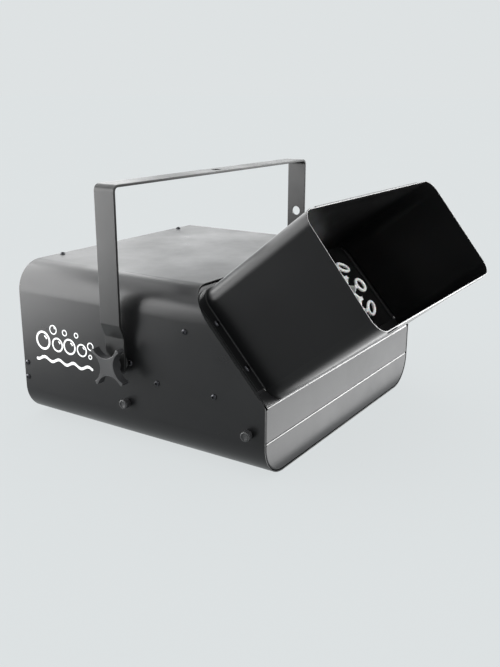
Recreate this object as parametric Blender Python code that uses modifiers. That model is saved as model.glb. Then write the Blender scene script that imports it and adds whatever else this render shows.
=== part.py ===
"""Stage bubble machine: a folded-steel housing with a sloping front, a square bubble duct, a U-shaped
yoke with star knobs, two ring wheels that dip in a drawer of fluid, and two fans behind them.

Body coordinates: X across, -Y towards the front, +Z up, with Z = 0 at the underside of the housing and
Y = 0 at the middle of its depth. The empty named assembly moves them so that the finished object stands
on Z = 0 with its bounding box centred on X = 0, Y = 0.
"""
import math

import bmesh
import bpy
from mathutils import Matrix, Vector

MM = 0.001

# ---- driving dimensions ------------------------------------------------------------------------------
HALF_W = 190 * MM               # housing, half its width
HALF_D = 177.2 * MM             # housing, half its depth
BODY_H = 195 * MM               # housing, underside to top
SHEET = 1.2 * MM                # steel sheet
GAP = 0.3 * MM                  # clearance between neighbouring pieces
TOP_R = 36 * MM                 # long top folds
BOTTOM_R = 38 * MM              # long bottom folds
LIP_X = 0.3 * MM                # inner edges of the bottom lips, which nearly meet
SEAM_Z = 42.8 * MM              # joint between the drawer front and the fixed front panel
FRONT_TOP_Z = 83.1 * MM         # top of the upright front
SLOPE = math.radians(48.1)      # sloping front, from the horizontal
FOOT_H = 3 * MM

DUCT_AXIS = math.radians(38.7)  # duct, elevation of its axis above the horizontal
DUCT_HALF_W = 170 * MM
DUCT_LOW = 0.4 * MM             # bottom wall, above the line from the front panel's top edge
DUCT_H = 142 * MM               # top wall, above the same line
DUCT_L = 146.5 * MM             # front panel's top edge to the mouth, along the axis
DUCT_R = 19 * MM
FLANGE_X = 183 * MM             # duct flange, half its width

WHEEL_Y = -84.6 * MM            # wheel shaft
WHEEL_Z = 98 * MM
WHEEL_X = 74.5 * MM               # wheel discs, either side of the middle
ROW_OFFSET = 15.5 * MM          # disc to the centres of a row of rings
RING_PITCH_R = 84.6 * MM        # shaft to the centres of the rings
RING_OUTER_R = 10.7 * MM
RING_SECTION_R = 2.2 * MM
RIM_LOW_R = 79 * MM             # wheel discs, in the hollows of their scalloped rims
RIM_HIGH_R = 85.6 * MM          # and at the lobes that carry the rings
RINGS = 16                      # rings in a row
FIRST_RING = math.radians(25.6)
SHAFT_R = 4 * MM

BRACKET_X = 165 * MM            # wheel brackets, middle of the sheet
BULKHEAD_Y = 47.6 * MM          # wall between the wet and the dry side
FAN_X = 78 * MM
FAN_Z = 130 * MM
FAN_SIZE = 92 * MM
FAN_DEPTH = 25 * MM
FAN_BORE_R = 43 * MM
REAR_Y = HALF_D - 0.9 * MM      # middle of the rear panel's sheet
OUTSIDE = REAR_Y + SHEET / 2    # its outer face
FUSE_REACH = 9.9 * MM           # fuse cap, beyond the outer face

TRAY_BACK_Y = 27 * MM
PIVOT_Y = 15 * MM               # yoke pivot
PIVOT_Z = 99 * MM
YOKE_HALF_W = 206.8 * MM        # over the arms
YOKE_TOP_Z = 300 * MM
YOKE_W = 28 * MM
YOKE_T = 3 * MM
YOKE_JOGGLE = 6 * MM
KNOB_TIP_R = 28 * MM
KNOB_WAIST_R = 10 * MM

THUMB_Z = 51 * MM
THUMB_Y = (8 * MM, -158 * MM)

DIRECTION = Vector((0, -math.cos(DUCT_AXIS), math.sin(DUCT_AXIS)))      # out along the duct
ACROSS = Vector((0, math.sin(DUCT_AXIS), math.cos(DUCT_AXIS)))          # from its bottom to its top wall
SLOPE_UP = Vector((0, math.cos(SLOPE), math.sin(SLOPE)))                # up the sloping front
SLOPE_OUT = Vector((0, -math.sin(SLOPE), math.cos(SLOPE)))              # its outward normal
CORNER = Vector((0, -HALF_D, FRONT_TOP_Z))                              # where the slope begins

FRONT_REACH = -(CORNER + ACROSS * DUCT_LOW + DIRECTION * DUCT_L).y
SHIFT_Y = (FRONT_REACH - OUTSIDE - FUSE_REACH) / 2


# ---- scene, collections, materials -------------------------------------------------------------------
for old in list(bpy.data.objects):
    bpy.data.objects.remove(old)

PARTS = bpy.data.collections.new("bubble_machine")
CUTTERS = bpy.data.collections.new("cutters")
for group in (PARTS, CUTTERS):
    bpy.context.scene.collection.children.link(group)

ASSEMBLY = bpy.data.objects.new("assembly", None)
ASSEMBLY.location = (0, SHIFT_Y, FOOT_H)
PARTS.objects.link(ASSEMBLY)


def material(name, colour, roughness, metallic=0.0):
    mat = bpy.data.materials.new(name)
    mat.use_nodes = True
    shader = mat.node_tree.nodes["Principled BSDF"]
    shader.inputs["Base Color"].default_value = (*colour, 1)
    shader.inputs["Roughness"].default_value = roughness
    shader.inputs["Metallic"].default_value = metallic
    return mat


BLACK_STEEL = material("black_steel", (0.02, 0.02, 0.022), 0.35)
INNER_STEEL = material("inner_steel", (0.45, 0.46, 0.47), 0.4, 1.0)
WHITE_PLASTIC = material("white_plastic", (0.85, 0.85, 0.83), 0.4)
BLACK_PLASTIC = material("black_plastic", (0.025, 0.025, 0.027), 0.5)
RUBBER = material("rubber", (0.03, 0.03, 0.03), 0.9)
STEEL = material("steel", (0.6, 0.6, 0.62), 0.3, 1.0)
BRASS = material("brass", (0.75, 0.6, 0.3), 0.35, 1.0)
CIRCUIT = material("circuit_board", (0.02, 0.18, 0.08), 0.6)
WINDOW = material("tinted_window", (0.04, 0.01, 0.01), 0.1)


# ---- building tools ----------------------------------------------------------------------------------
def link_part(obj, mat, group=PARTS):
    obj.parent = ASSEMBLY
    group.objects.link(obj)
    if mat:
        obj.data.materials.append(mat)
    if group is CUTTERS:
        obj.hide_render = True
        obj.display_type = 'WIRE'
    return obj


def mesh_part(name, bm, mat, origin=(0, 0, 0), group=PARTS):
    """Turn a bmesh drawn in body coordinates into an object whose origin is at origin."""
    bmesh.ops.translate(bm, verts=bm.verts, vec=-Vector(origin))
    mesh = bpy.data.meshes.new(name)
    bm.to_mesh(mesh)
    bm.free()
    mesh.shade_smooth()
    mesh.set_sharp_from_angle(angle=math.radians(35))
    obj = bpy.data.objects.new(name, mesh)
    obj.location = origin
    return link_part(obj, mat, group)


def box(bm, low, high):
    low, high = Vector(low), Vector(high)
    place = Matrix.Translation((low + high) / 2) @ Matrix.Diagonal((*(high - low), 1))
    return bmesh.ops.create_cube(bm, size=1, matrix=place)["verts"]


def box_part(name, low, high, mat, group=PARTS, bevel=0.0):
    bm = bmesh.new()
    box(bm, low, high)
    if bevel:
        bmesh.ops.bevel(bm, geom=bm.edges[:], offset=bevel, segments=1, affect='EDGES')
    return mesh_part(name, bm, mat, (Vector(low) + Vector(high)) / 2, group)


def turn_to(axis):
    """Rotation that carries +Z to axis."""
    return Vector((0, 0, 1)).rotation_difference(Vector(axis)).to_matrix().to_4x4()


def rod(bm, centre, axis, radius, length, segments=20):
    place = Matrix.Translation(centre) @ turn_to(axis)
    bmesh.ops.create_cone(bm, cap_ends=True, segments=segments, radius1=radius, radius2=radius,
                          depth=length, matrix=place)


def rod_cutter(name, centre, axis, radius, length, segments=20):
    bm = bmesh.new()
    rod(bm, centre, axis, radius, length, segments)
    return mesh_part(name, bm, None, centre, CUTTERS)


def turned(name, profile, origin, axis, mat, steps=20, group=PARTS):
    """A lathe shape. profile lists (radius, height along axis from origin), down its outer side."""
    closed = profile[0][0] > 0 and profile[-1][0] > 0
    mesh = bpy.data.meshes.new(name)
    edges = [(i, i + 1) for i in range(len(profile) - 1)]
    if closed:
        edges.append((len(profile) - 1, 0))
    mesh.from_pydata([(radius, 0, height) for radius, height in profile], edges, [])
    obj = bpy.data.objects.new(name, mesh)
    obj.matrix_world = Matrix.Translation(origin) @ turn_to(axis)
    screw = obj.modifiers.new("turn", 'SCREW')
    screw.axis = 'Z'
    screw.steps = screw.render_steps = steps
    screw.use_merge_vertices = True
    screw.merge_threshold = 0.00001
    screw.use_smooth_shade = True
    return link_part(obj, mat, group)


def cut(obj, *cutters, operation='DIFFERENCE'):
    for cutter in cutters:
        boolean = obj.modifiers.new(cutter.name, 'BOOLEAN')
        boolean.operation = operation
        boolean.object = cutter
        boolean.solver = 'EXACT'
    return obj


def join(obj, *others):
    return cut(obj, *others, operation='UNION')


def arc(centre, radius, start, end, segments):
    """Points on an arc, angles in degrees."""
    angles = [math.radians(start + (end - start) * i / segments) for i in range(segments + 1)]
    return [(centre[0] + radius * math.cos(a), centre[1] + radius * math.sin(a)) for a in angles]


def circle(centre, radius, segments=20):
    return arc(centre, radius, 0, 360 - 360 / segments, segments - 1)


def rectangle(low, high):
    return [low, (high[0], low[1]), high, (low[0], high[1])]


def rounded_box(half_w, low, high, low_r, high_r, segments):
    """Closed outline of a box with rounded corners, centred across, counter-clockwise."""
    right = (arc((half_w - low_r, low + low_r), low_r, -90, 0, segments)
             + arc((half_w - high_r, high - high_r), high_r, 0, 90, segments))
    return right + [(-x, y) for x, y in reversed(right)]


def plate(name, loops, thickness, frame, mat, group=PARTS, origin=None):
    """Flat plate with holes: a filled 2D curve, made a mesh, in the plane that frame gives."""
    curve = bpy.data.curves.new(name, 'CURVE')
    curve.dimensions = '2D'
    curve.fill_mode = 'BOTH'
    curve.extrude = thickness / 2
    for loop in loops:
        spline = curve.splines.new('POLY')
        spline.points.add(len(loop) - 1)
        spline.use_cyclic_u = True
        for point, (x, y) in zip(spline.points, loop):
            point.co = (x, y, 0, 1)
    blank = bpy.data.objects.new(name + "_outline", curve)
    PARTS.objects.link(blank)
    evaluated = blank.evaluated_get(bpy.context.evaluated_depsgraph_get())
    mesh = bpy.data.meshes.new_from_object(evaluated)
    bm = bmesh.new()
    bm.from_mesh(mesh)
    bpy.data.objects.remove(blank)
    bpy.data.meshes.remove(mesh)
    bmesh.ops.remove_doubles(bm, verts=bm.verts, dist=0.00001)
    bmesh.ops.transform(bm, matrix=frame, verts=bm.verts)
    bmesh.ops.recalc_face_normals(bm, faces=bm.faces)
    return mesh_part(name, bm, mat, frame.translation if origin is None else origin, group)


def plane_at_y(y):
    """Frame whose outline axes are body X and Z."""
    return Matrix.Translation((0, y, 0)) @ Matrix.Rotation(math.radians(90), 4, 'X')


def plane_at_x(x):
    """Frame whose outline axes are body Y and Z."""
    return Matrix(((0, 0, 1, x), (1, 0, 0, 0), (0, 1, 0, 0), (0, 0, 0, 1)))


def plane_on_slope(offset):
    """Frame whose outline axes are X and the distance up the slope, offset outwards from it."""
    centre = CORNER + SLOPE_OUT * offset
    rows = [(1, 0, 0, centre.x), (0, SLOPE_UP.y, SLOPE_OUT.y, centre.y),
            (0, SLOPE_UP.z, SLOPE_OUT.z, centre.z), (0, 0, 0, 1)]
    return Matrix(rows)


def swept_sheet(bm, outline, low, high):
    """Open surface: an outline in X and Z carried along Y. Returns its rows of vertices."""
    rows = [[bm.verts.new((x, y, z)) for x, z in outline] for y in (low, high)]
    for i in range(len(outline) - 1):
        bm.faces.new((rows[0][i], rows[0][i + 1], rows[1][i + 1], rows[1][i]))
    return rows


def thicken(obj, thickness, offset):
    solidify = obj.modifiers.new("sheet", 'SOLIDIFY')
    solidify.thickness = thickness
    solidify.offset = offset
    solidify.use_even_offset = True
    return obj


# ---- housing -----------------------------------------------------------------------------------------
def housing_outline():
    """Wrapped section, from the left lip over the top to the right lip."""
    left = ([(-LIP_X, 0)]
            + arc((-HALF_W + BOTTOM_R, BOTTOM_R), BOTTOM_R, 270, 180, 6)
            + arc((-HALF_W + TOP_R, BODY_H - TOP_R), TOP_R, 180, 90, 6))
    return left + [(-x, z) for x, z in reversed(left)]


def inside_outline():
    """Closed outline of a plate that fills the wrapped section."""
    inset = SHEET + GAP
    return rounded_box(HALF_W - inset, inset, BODY_H - inset, BOTTOM_R - inset, TOP_R - inset, 6)


def make_housing():
    bm = bmesh.new()
    swept_sheet(bm, housing_outline(), -HALF_D, HALF_D)
    bmesh.ops.bisect_plane(bm, geom=bm.verts[:] + bm.edges[:] + bm.faces[:], dist=0.000001,
                           plane_co=CORNER, plane_no=SLOPE_OUT, clear_outer=True)
    top = max(bm.faces, key=lambda f: f.calc_center_median().z)
    if top.normal.z < 0:
        bmesh.ops.reverse_faces(bm, faces=bm.faces)
    cover = thicken(mesh_part("housing_cover", bm, BLACK_STEEL), SHEET, -1)
    cut(cover, rod_cutter("stud_hole", (0, PIVOT_Y, PIVOT_Z), (1, 0, 0), 4.8 * MM, 2.2 * HALF_W))
    for i, y in enumerate(THUMB_Y):
        cut(cover, rod_cutter(f"thumb_hole_{i}", (0, y, THUMB_Z), (1, 0, 0), 3.2 * MM, 2.2 * HALF_W, 12))

    box_part("base_plate", (-150 * MM, BULKHEAD_Y + 2 * MM, SHEET + GAP),
             (150 * MM, REAR_Y - SHEET, 2 * SHEET + GAP), INNER_STEEL)
    for i, (x, y) in enumerate([(x, y) for y in (-150 * MM, 150 * MM) for x in (-141 * MM, 141 * MM)]):
        turned(f"rubber_foot_{i + 1}", [(0, -GAP), (9 * MM, -GAP), (10 * MM, -FOOT_H), (0, -FOOT_H)],
               (x, y, 0), (0, 0, 1), RUBBER, steps=16)


def make_front_panel():
    """Fixed upper front, with side returns that the front thumb screws hold."""
    half, bend, back = HALF_W - SHEET - GAP, 2.5 * MM, -150 * MM
    left = [(-half, back)] + arc((-half + bend, -HALF_D + bend), bend, 180, 270, 3)
    path = left + [(-x, y) for x, y in reversed(left)]
    low, high = SEAM_Z + GAP, FRONT_TOP_Z - 0.6 * MM
    bm = bmesh.new()
    rows = [[bm.verts.new((x, y, z)) for x, y in path] for z in (low, high)]
    for i in range(len(path) - 1):
        bm.faces.new((rows[0][i], rows[0][i + 1], rows[1][i + 1], rows[1][i]))
    panel = thicken(mesh_part("front_panel", bm, BLACK_STEEL), SHEET, -1)
    cut(panel, rod_cutter("panel_screw_hole", (0, THUMB_Y[1], THUMB_Z), (1, 0, 0), 3.2 * MM,
                          2.2 * HALF_W, 12))


def make_slope_frame():
    """Inverted U behind the duct flange: two side strips and a strip across the top."""
    inner_x, inner_s, corner = 164 * MM, 141.5 * MM, 12 * MM
    inset = SHEET + GAP
    radius = TOP_R - inset
    bend_x = HALF_W - TOP_R
    bend_s = (BODY_H - TOP_R - FRONT_TOP_Z) / math.sin(SLOPE)
    outer = [(HALF_W - inset, 4 * MM)]
    outer += [(bend_x + radius * math.cos(a), bend_s + radius * math.sin(a) / math.sin(SLOPE))
              for a in [math.radians(15 * i) for i in range(6)]]
    top_s = 148 * MM
    outer = [p for p in outer if p[1] < top_s - 1 * MM]
    outer.append((bend_x + 5 * MM, top_s))
    inner = arc((inner_x - corner, inner_s - corner), corner, 90, 0, 4) + [(inner_x, 4 * MM)]
    half = outer + [(-x, s) for x, s in reversed(outer)]
    half += [(-x, s) for x, s in reversed(inner)] + inner
    frame = plate("slope_frame", [half], SHEET, plane_on_slope(-2.4 * MM), BLACK_STEEL)
    return cut(frame, *[rod_cutter(f"frame_hole_{i}", screw_point(x, s), SLOPE_OUT, 1.9 * MM, 8 * MM, 10)
                        for i, (x, s) in enumerate(duct_screws())])


def duct_screws():
    return [(x, s) for x in (-176 * MM, 176 * MM) for s in (46 * MM, 103 * MM)]


def screw_point(x, s):
    return Vector((x, 0, 0)) + CORNER + SLOPE_UP * s - SLOPE_OUT * 1.6 * MM


def make_duct():
    """Rounded rectangular duct with a flange along its sides and top where it meets the slope."""
    outline = rounded_box(DUCT_HALF_W, DUCT_LOW, DUCT_H, DUCT_R, DUCT_R, 5)
    tilt = SLOPE_OUT.dot(ACROSS) / SLOPE_OUT.dot(DIRECTION)
    offset = -GAP
    bm = bmesh.new()
    base, mouth = [], []
    for x, v in outline:
        side = CORNER + Vector((x, 0, 0)) + ACROSS * v
        base.append(bm.verts.new(side + DIRECTION * (offset / SLOPE_OUT.dot(DIRECTION) - v * tilt)))
        mouth.append(bm.verts.new(side + DIRECTION * DUCT_L))
    count = len(outline)
    for i in range(count):
        j = (i + 1) % count
        bm.faces.new((base[i], base[j], mouth[j], mouth[i]))
    flange_low, flange_high = 19 * MM, 145 * MM
    corner_x, corner_s = DUCT_HALF_W - DUCT_R, DUCT_H - DUCT_R
    rim = {}
    for vert, (x, v) in zip(base, outline):
        if v < flange_low:
            continue
        turn = math.atan2(max(0, v - corner_s), max(0, abs(x) - corner_x))
        out_x = corner_x + (FLANGE_X - corner_x) * math.cos(turn) if abs(x) > corner_x else abs(x)
        out_s = corner_s + (flange_high - corner_s) * math.sin(turn) if v > corner_s else v
        rim[vert] = bm.verts.new(CORNER + Vector((math.copysign(out_x, x), 0, 0)) + SLOPE_UP * out_s
                                 + SLOPE_OUT * offset)
    for i in range(count):
        a, b = base[i], base[(i + 1) % count]
        if a in rim and b in rim:
            bm.faces.new((b, a, rim[a], rim[b]))
    bmesh.ops.recalc_face_normals(bm, faces=bm.faces)
    top = max(bm.faces, key=lambda f: f.calc_center_median().z)
    if top.normal.dot(ACROSS) < 0:
        bmesh.ops.reverse_faces(bm, faces=bm.faces)
    duct = thicken(mesh_part("bubble_duct", bm, BLACK_STEEL), SHEET, -1)
    cut(duct, *[rod_cutter(f"flange_hole_{i}", screw_point(x, s), SLOPE_OUT, 1.9 * MM, 8 * MM, 10)
                for i, (x, s) in enumerate(duct_screws())])
    names = ("left_low", "left_high", "right_low", "right_high")
    for name, (x, s) in zip(names, duct_screws()):
        head = [(0, 2.9 * MM), (2.6 * MM, 2.6 * MM), (4 * MM, 1.6 * MM), (4 * MM, 1.0 * MM),
                (1.5 * MM, 1.0 * MM), (1.5 * MM, -5 * MM), (0, -5 * MM)]
        turned(f"duct_screw_{name}", head, screw_point(x, s) + SLOPE_OUT * 0.9 * MM, SLOPE_OUT, STEEL, 12)


# ---- fluid drawer ------------------------------------------------------------------------------------
def make_tray():
    """Drawer that holds the fluid: a tub with rounded bottom corners and a low back wall."""
    inset = SHEET + GAP
    half, radius, segments = HALF_W - inset, BOTTOM_R - inset, 6
    left = [(-half, SEAM_Z - GAP)] + arc((-half + radius, inset + radius), radius, 180, 270, segments)
    outline = left + [(-x, z) for x, z in reversed(left)]
    tab_low, tab_high, tab_top = THUMB_Y[0] - 12 * MM, THUMB_Y[0] + 12 * MM, 60 * MM
    stations = (-HALF_D, tab_low, tab_high, TRAY_BACK_Y)
    bm = bmesh.new()
    rows = [[bm.verts.new((x, y, z)) for x, z in outline] for y in stations]
    for first, second in zip(rows, rows[1:]):
        for i in range(len(outline) - 1):
            bm.faces.new((first[i], second[i], second[i + 1], first[i + 1]))
    bm.faces.new(rows[0])
    back_start = 2
    bm.faces.new(list(reversed(rows[-1][back_start:len(outline) - back_start])))
    for end in (0, -1):
        low, high = rows[1][end], rows[2][end]
        raised = [bm.verts.new((v.co.x, v.co.y, tab_top)) for v in (low, high)]
        bm.faces.new((low, raised[0], raised[1], high) if end == 0 else (low, high, raised[1], raised[0]))
    bmesh.ops.recalc_face_normals(bm, faces=bm.faces)
    floor = min(bm.faces, key=lambda f: f.calc_center_median().z)
    if floor.normal.z > 0:
        bmesh.ops.reverse_faces(bm, faces=bm.faces)
    thicken(mesh_part("fluid_drawer", bm, BLACK_STEEL), SHEET, -1)


def make_thumb_screws():
    """The rear pair clamps the drawer's tabs. The front pair passes through the front panel's returns."""
    clamping, through = -SHEET, -9.2 * MM
    for side, side_name in ((-1, "left"), (1, "right")):
        for y, place, tip in ((THUMB_Y[0], "rear", clamping), (THUMB_Y[1], "front", through)):
            profile = [(0, 10 * MM), (4.6 * MM, 10 * MM), (5.6 * MM, 9 * MM), (5.6 * MM, 2.4 * MM),
                       (4 * MM, GAP), (2.6 * MM, GAP), (2.6 * MM, tip), (0, tip)]
            turned(f"thumb_screw_{side_name}_{place}", profile, (side * HALF_W, y, THUMB_Z),
                   (side, 0, 0), BLACK_PLASTIC, 16)


# ---- bubble wheels -----------------------------------------------------------------------------------
def make_wheel(side, name):
    """Scalloped disc with a row of rings on each face, the rows half a pitch apart, and a hub."""
    centre = Vector((side * WHEEL_X, WHEEL_Y, WHEEL_Z))
    frame = plane_at_x(centre.x) @ Matrix.Translation((WHEEL_Y, WHEEL_Z, 0))
    lightening = [circle((50 * MM * math.cos(a), 50 * MM * math.sin(a)), 16 * MM, 8)
                  for a in [math.tau * i / 8 for i in range(8)]]
    loops = [scalloped_rim(), circle((0, 0), 8 * MM, 12)] + lightening
    disc = plate(name, loops, 2.4 * MM, frame, WHITE_PLASTIC)
    hub = turned(name + "_hub", [(12 * MM, 12 * MM), (12 * MM, -12 * MM),
                                 (SHAFT_R + GAP, -12 * MM), (SHAFT_R + GAP, 12 * MM)],
                 centre, (1, 0, 0), None, 16, CUTTERS)
    ring_rows, stalk_rows = bmesh.new(), bmesh.new()
    stalk_reach = ROW_OFFSET - RING_OUTER_R + 1.2 * MM
    for row, phase in ((side, 0.0), (-side, 0.5)):
        for i in range(RINGS):
            angle = FIRST_RING + (i + phase) * math.tau / RINGS
            spoke = Vector((0, -math.sin(angle), math.cos(angle)))
            at_rim = Matrix.Translation(centre + spoke * RING_PITCH_R) @ turn_to(spoke)
            add_ring(ring_rows, at_rim @ Matrix.Translation((row * ROW_OFFSET, 0, 0)))
            ends = sorted((0, row * stalk_reach))
            stalk = box(stalk_rows, (ends[0], -2.5 * MM, -1.8 * MM), (ends[1], 2.5 * MM, 1.8 * MM))
            bmesh.ops.transform(stalk_rows, matrix=at_rim, verts=stalk)
    stalks = mesh_part(name + "_stalks", stalk_rows, None, centre, CUTTERS)
    rings = mesh_part(name + "_rings", ring_rows, None, centre, CUTTERS)
    return join(disc, hub, stalks, rings)


def scalloped_rim(steps=4):
    """Rim with one lobe for each ring, the lobes of both rows by turns."""
    lobes = 2 * RINGS
    points = []
    for i in range(lobes * steps):
        turn = math.tau * i / (lobes * steps)
        angle = math.pi / 2 + FIRST_RING + turn
        radius = (RIM_HIGH_R + RIM_LOW_R + (RIM_HIGH_R - RIM_LOW_R) * math.cos(lobes * turn)) / 2
        points.append((radius * math.cos(angle), radius * math.sin(angle)))
    return points


def ring_mesh():
    """One ring, kept coarse because the wheels carry many of them."""
    bpy.ops.mesh.primitive_torus_add(major_segments=8, minor_segments=3, minor_radius=RING_SECTION_R,
                                     major_radius=RING_OUTER_R - RING_SECTION_R)
    ring = bpy.context.object
    mesh = ring.data
    bpy.data.objects.remove(ring)
    return mesh


RING_MESH = ring_mesh()


def add_ring(bm, matrix):
    first = len(bm.verts)
    bm.from_mesh(RING_MESH)
    bm.verts.ensure_lookup_table()
    bmesh.ops.transform(bm, matrix=matrix, verts=bm.verts[first:])


def make_wheel_drive():
    left_end, right_end = -179 * MM, 171 * MM
    middle = (left_end + right_end) / 2
    half = (right_end - left_end) / 2
    profile = [(0, half), (SHAFT_R - 0.5 * MM, half), (SHAFT_R, half - 0.5 * MM),
               (SHAFT_R, -half + 0.5 * MM), (SHAFT_R - 0.5 * MM, -half), (0, -half)]
    turned("wheel_shaft", profile, (middle, WHEEL_Y, WHEEL_Z), (1, 0, 0), STEEL, 16)
    make_wheel(-1, "bubble_wheel_left")
    make_wheel(1, "bubble_wheel_right")
    bore = SHAFT_R + GAP
    for side, name in ((-1, "left"), (1, "right")):
        turned(f"shaft_bush_{name}", [(11 * MM, -0.9 * MM), (11 * MM, -3 * MM), (bore, -3 * MM),
                                      (bore, 4 * MM), (7.7 * MM, 4 * MM), (7.7 * MM, -0.9 * MM)],
               (side * BRACKET_X, WHEEL_Y, WHEEL_Z), (side, 0, 0), BRASS, 16)
    output_bore = [(0, -15 * MM), (bore, -15 * MM), (bore, -4.5 * MM), (12.5 * MM, -4.5 * MM)]
    case = [(12.5 * MM, 0), (25 * MM, 0), (25 * MM, -21 * MM), (0, -21 * MM)]
    turned("wheel_motor", output_bore + case, (-BRACKET_X - SHEET / 2 - GAP, WHEEL_Y, WHEEL_Z),
           (1, 0, 0), STEEL, 24)


def make_wheel_bracket(side, name):
    """Inner side wall that carries a shaft bush, held off the housing by three pillars."""
    behind = -3.6 * MM
    front_y = -170 * MM
    low_z, high_z = 64 * MM, 189 * MM

    def slope_z(y):
        return FRONT_TOP_Z + (behind + (y + HALF_D) * math.sin(SLOPE)) / math.cos(SLOPE)

    def slope_y(z):
        return -HALF_D + ((z - FRONT_TOP_Z) * math.cos(SLOPE) - behind) / math.sin(SLOPE)

    outline = [(front_y, low_z), (BULKHEAD_Y - 1 * MM, low_z), (BULKHEAD_Y - 1 * MM, high_z),
               (slope_y(high_z), high_z), (front_y, slope_z(front_y))]
    hole = circle((WHEEL_Y, WHEEL_Z), 8 * MM, 16)
    bracket = plate(f"wheel_bracket_{name}", [outline, hole], SHEET, plane_at_x(side * BRACKET_X),
                    BLACK_STEEL)
    length = HALF_W - SHEET - GAP - BRACKET_X
    for i, (y, z) in enumerate(((-75.7 * MM, 148.8 * MM), (-35.7 * MM, 82.5 * MM),
                                (-113.3 * MM, 82.9 * MM))):
        bm = bmesh.new()
        rod(bm, (side * (BRACKET_X + length / 2), y, z), (1, 0, 0), 4 * MM, length, 10)
        join(bracket, mesh_part(f"pillar_{name}_{i}", bm, None, (side * BRACKET_X, y, z), CUTTERS))


# ---- fans --------------------------------------------------------------------------------------------
def make_fan(side, name):
    """Square axial fan: frame with a rear spider that carries the rotor's hub."""
    centre = Vector((side * FAN_X, BULKHEAD_Y - SHEET / 2 - GAP - FAN_DEPTH / 2, FAN_Z))
    frame = plane_at_y(centre.y) @ Matrix.Translation((centre.x, centre.z, 0))
    half = FAN_SIZE / 2
    body = plate(f"fan_frame_{name}", [rounded_box(half, -half, half, 5 * MM, 5 * MM, 2),
                                       circle((0, 0), FAN_BORE_R, 32)],
                 FAN_DEPTH, frame, BLACK_PLASTIC, origin=centre)
    back = centre.y + FAN_DEPTH / 2
    bm = bmesh.new()
    rod(bm, (centre.x, back - 1.6 * MM, centre.z), (0, 1, 0), 18 * MM, 3 * MM, 20)
    disc = mesh_part(f"fan_stator_{name}", bm, None, centre, CUTTERS)
    spider = []
    for i in range(2):
        bm = bmesh.new()
        verts = box(bm, (-FAN_BORE_R - 1 * MM, -1.4 * MM, -2 * MM), (FAN_BORE_R + 1 * MM, 1.4 * MM, 2 * MM))
        bmesh.ops.rotate(bm, verts=verts, cent=(0, 0, 0), matrix=Matrix.Rotation(math.pi * (i + 0.5) / 2,
                                                                                  3, 'Y'))
        bmesh.ops.translate(bm, verts=verts, vec=(centre.x, back - 1.6 * MM, centre.z))
        spider.append(mesh_part(f"fan_strut_{name}_{i}", bm, None, centre, CUTTERS))
    join(body, disc, *spider)

    hub_back = back - 3.1 * MM - GAP
    hub_length = 17 * MM
    bm = bmesh.new()
    rod(bm, (centre.x, hub_back - hub_length / 2, centre.z), (0, 1, 0), 17 * MM, hub_length, 20)
    rotor = mesh_part(f"fan_rotor_{name}", bm, BLACK_PLASTIC, (centre.x, hub_back, centre.z))
    bm = bmesh.new()
    blades = 7
    for i in range(blades):
        verts = box(bm, (15 * MM, -0.8 * MM, -10 * MM), (41 * MM, 0.8 * MM, 10 * MM))
        pitch = Matrix.Rotation(math.radians(50 * side), 3, 'X')
        spin = Matrix.Rotation(math.tau * i / blades, 3, 'Y')
        bmesh.ops.transform(bm, verts=verts, matrix=(spin @ pitch).to_4x4())
        bmesh.ops.translate(bm, verts=verts, vec=(centre.x, hub_back - hub_length / 2, centre.z))
    join(rotor, mesh_part(f"fan_blades_{name}", bm, None, centre, CUTTERS))


def make_bulkhead():
    holes = [circle((side * FAN_X, FAN_Z), FAN_BORE_R, 32) for side in (-1, 1)]
    cable_pass = circle((0, 60 * MM), 8 * MM, 12)
    plate("fan_bulkhead", [inside_outline()] + holes + [cable_pass], SHEET, plane_at_y(BULKHEAD_Y),
          BLACK_STEEL)


# ---- rear panel and its controls ---------------------------------------------------------------------
INLET = (130 * MM, 48 * MM)
FUSE = (94 * MM, 48 * MM)
SWITCH = (56 * MM, 48 * MM)
DATA_IN = (-14 * MM, 48 * MM)
DATA_OUT = (18 * MM, 48 * MM)
DISPLAY = (-105 * MM, 58 * MM)
BUTTON_Z = 34 * MM
BUTTON_X = [(-126 + 14 * i) * MM for i in range(4)]
BUTTON_R = 3.5 * MM


def around(centre, half_w, half_h):
    return rectangle((centre[0] - half_w, centre[1] - half_h), (centre[0] + half_w, centre[1] + half_h))


def intake_slots():
    slots = []
    for side in (-1, 1):
        for row in range(7):
            slots.append(around((side * FAN_X, FAN_Z + (row - 3) * 11 * MM), 36 * MM, 2.5 * MM))
    return slots


def make_rear_panel():
    holes = [around(INLET, 13.9 * MM, 10.1 * MM), circle(FUSE, 6.6 * MM, 16),
             around(SWITCH, 9.9 * MM, 6.8 * MM), circle(DATA_IN, 12.1 * MM, 20),
             circle(DATA_OUT, 12.1 * MM, 20), around(DISPLAY, 25 * MM, 9 * MM)]
    holes += [circle((x, BUTTON_Z), BUTTON_R + 0.3 * MM, 12) for x in BUTTON_X]
    plate("rear_panel", [inside_outline()] + holes + intake_slots(), SHEET, plane_at_y(REAR_Y),
          BLACK_STEEL)


def make_inlet():
    """Panel-mounted power inlet: flange, body and the cavity that takes the connector."""
    x, z = INLET
    flange = box_part("power_inlet", (x - 15.5 * MM, OUTSIDE + GAP, z - 12 * MM),
                      (x + 15.5 * MM, OUTSIDE + 2.6 * MM, z + 12 * MM), BLACK_PLASTIC)
    body = box_part("inlet_body", (x - 13.6 * MM, OUTSIDE - 20 * MM, z - 9.8 * MM),
                    (x + 13.6 * MM, OUTSIDE + 1 * MM, z + 9.8 * MM), None, CUTTERS)
    cavity = box_part("inlet_cavity", (x - 12.1 * MM, OUTSIDE - 15 * MM, z - 8.1 * MM),
                      (x + 12.1 * MM, OUTSIDE + 5 * MM, z + 8.1 * MM), None, CUTTERS)
    cut(join(flange, body), cavity)


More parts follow.
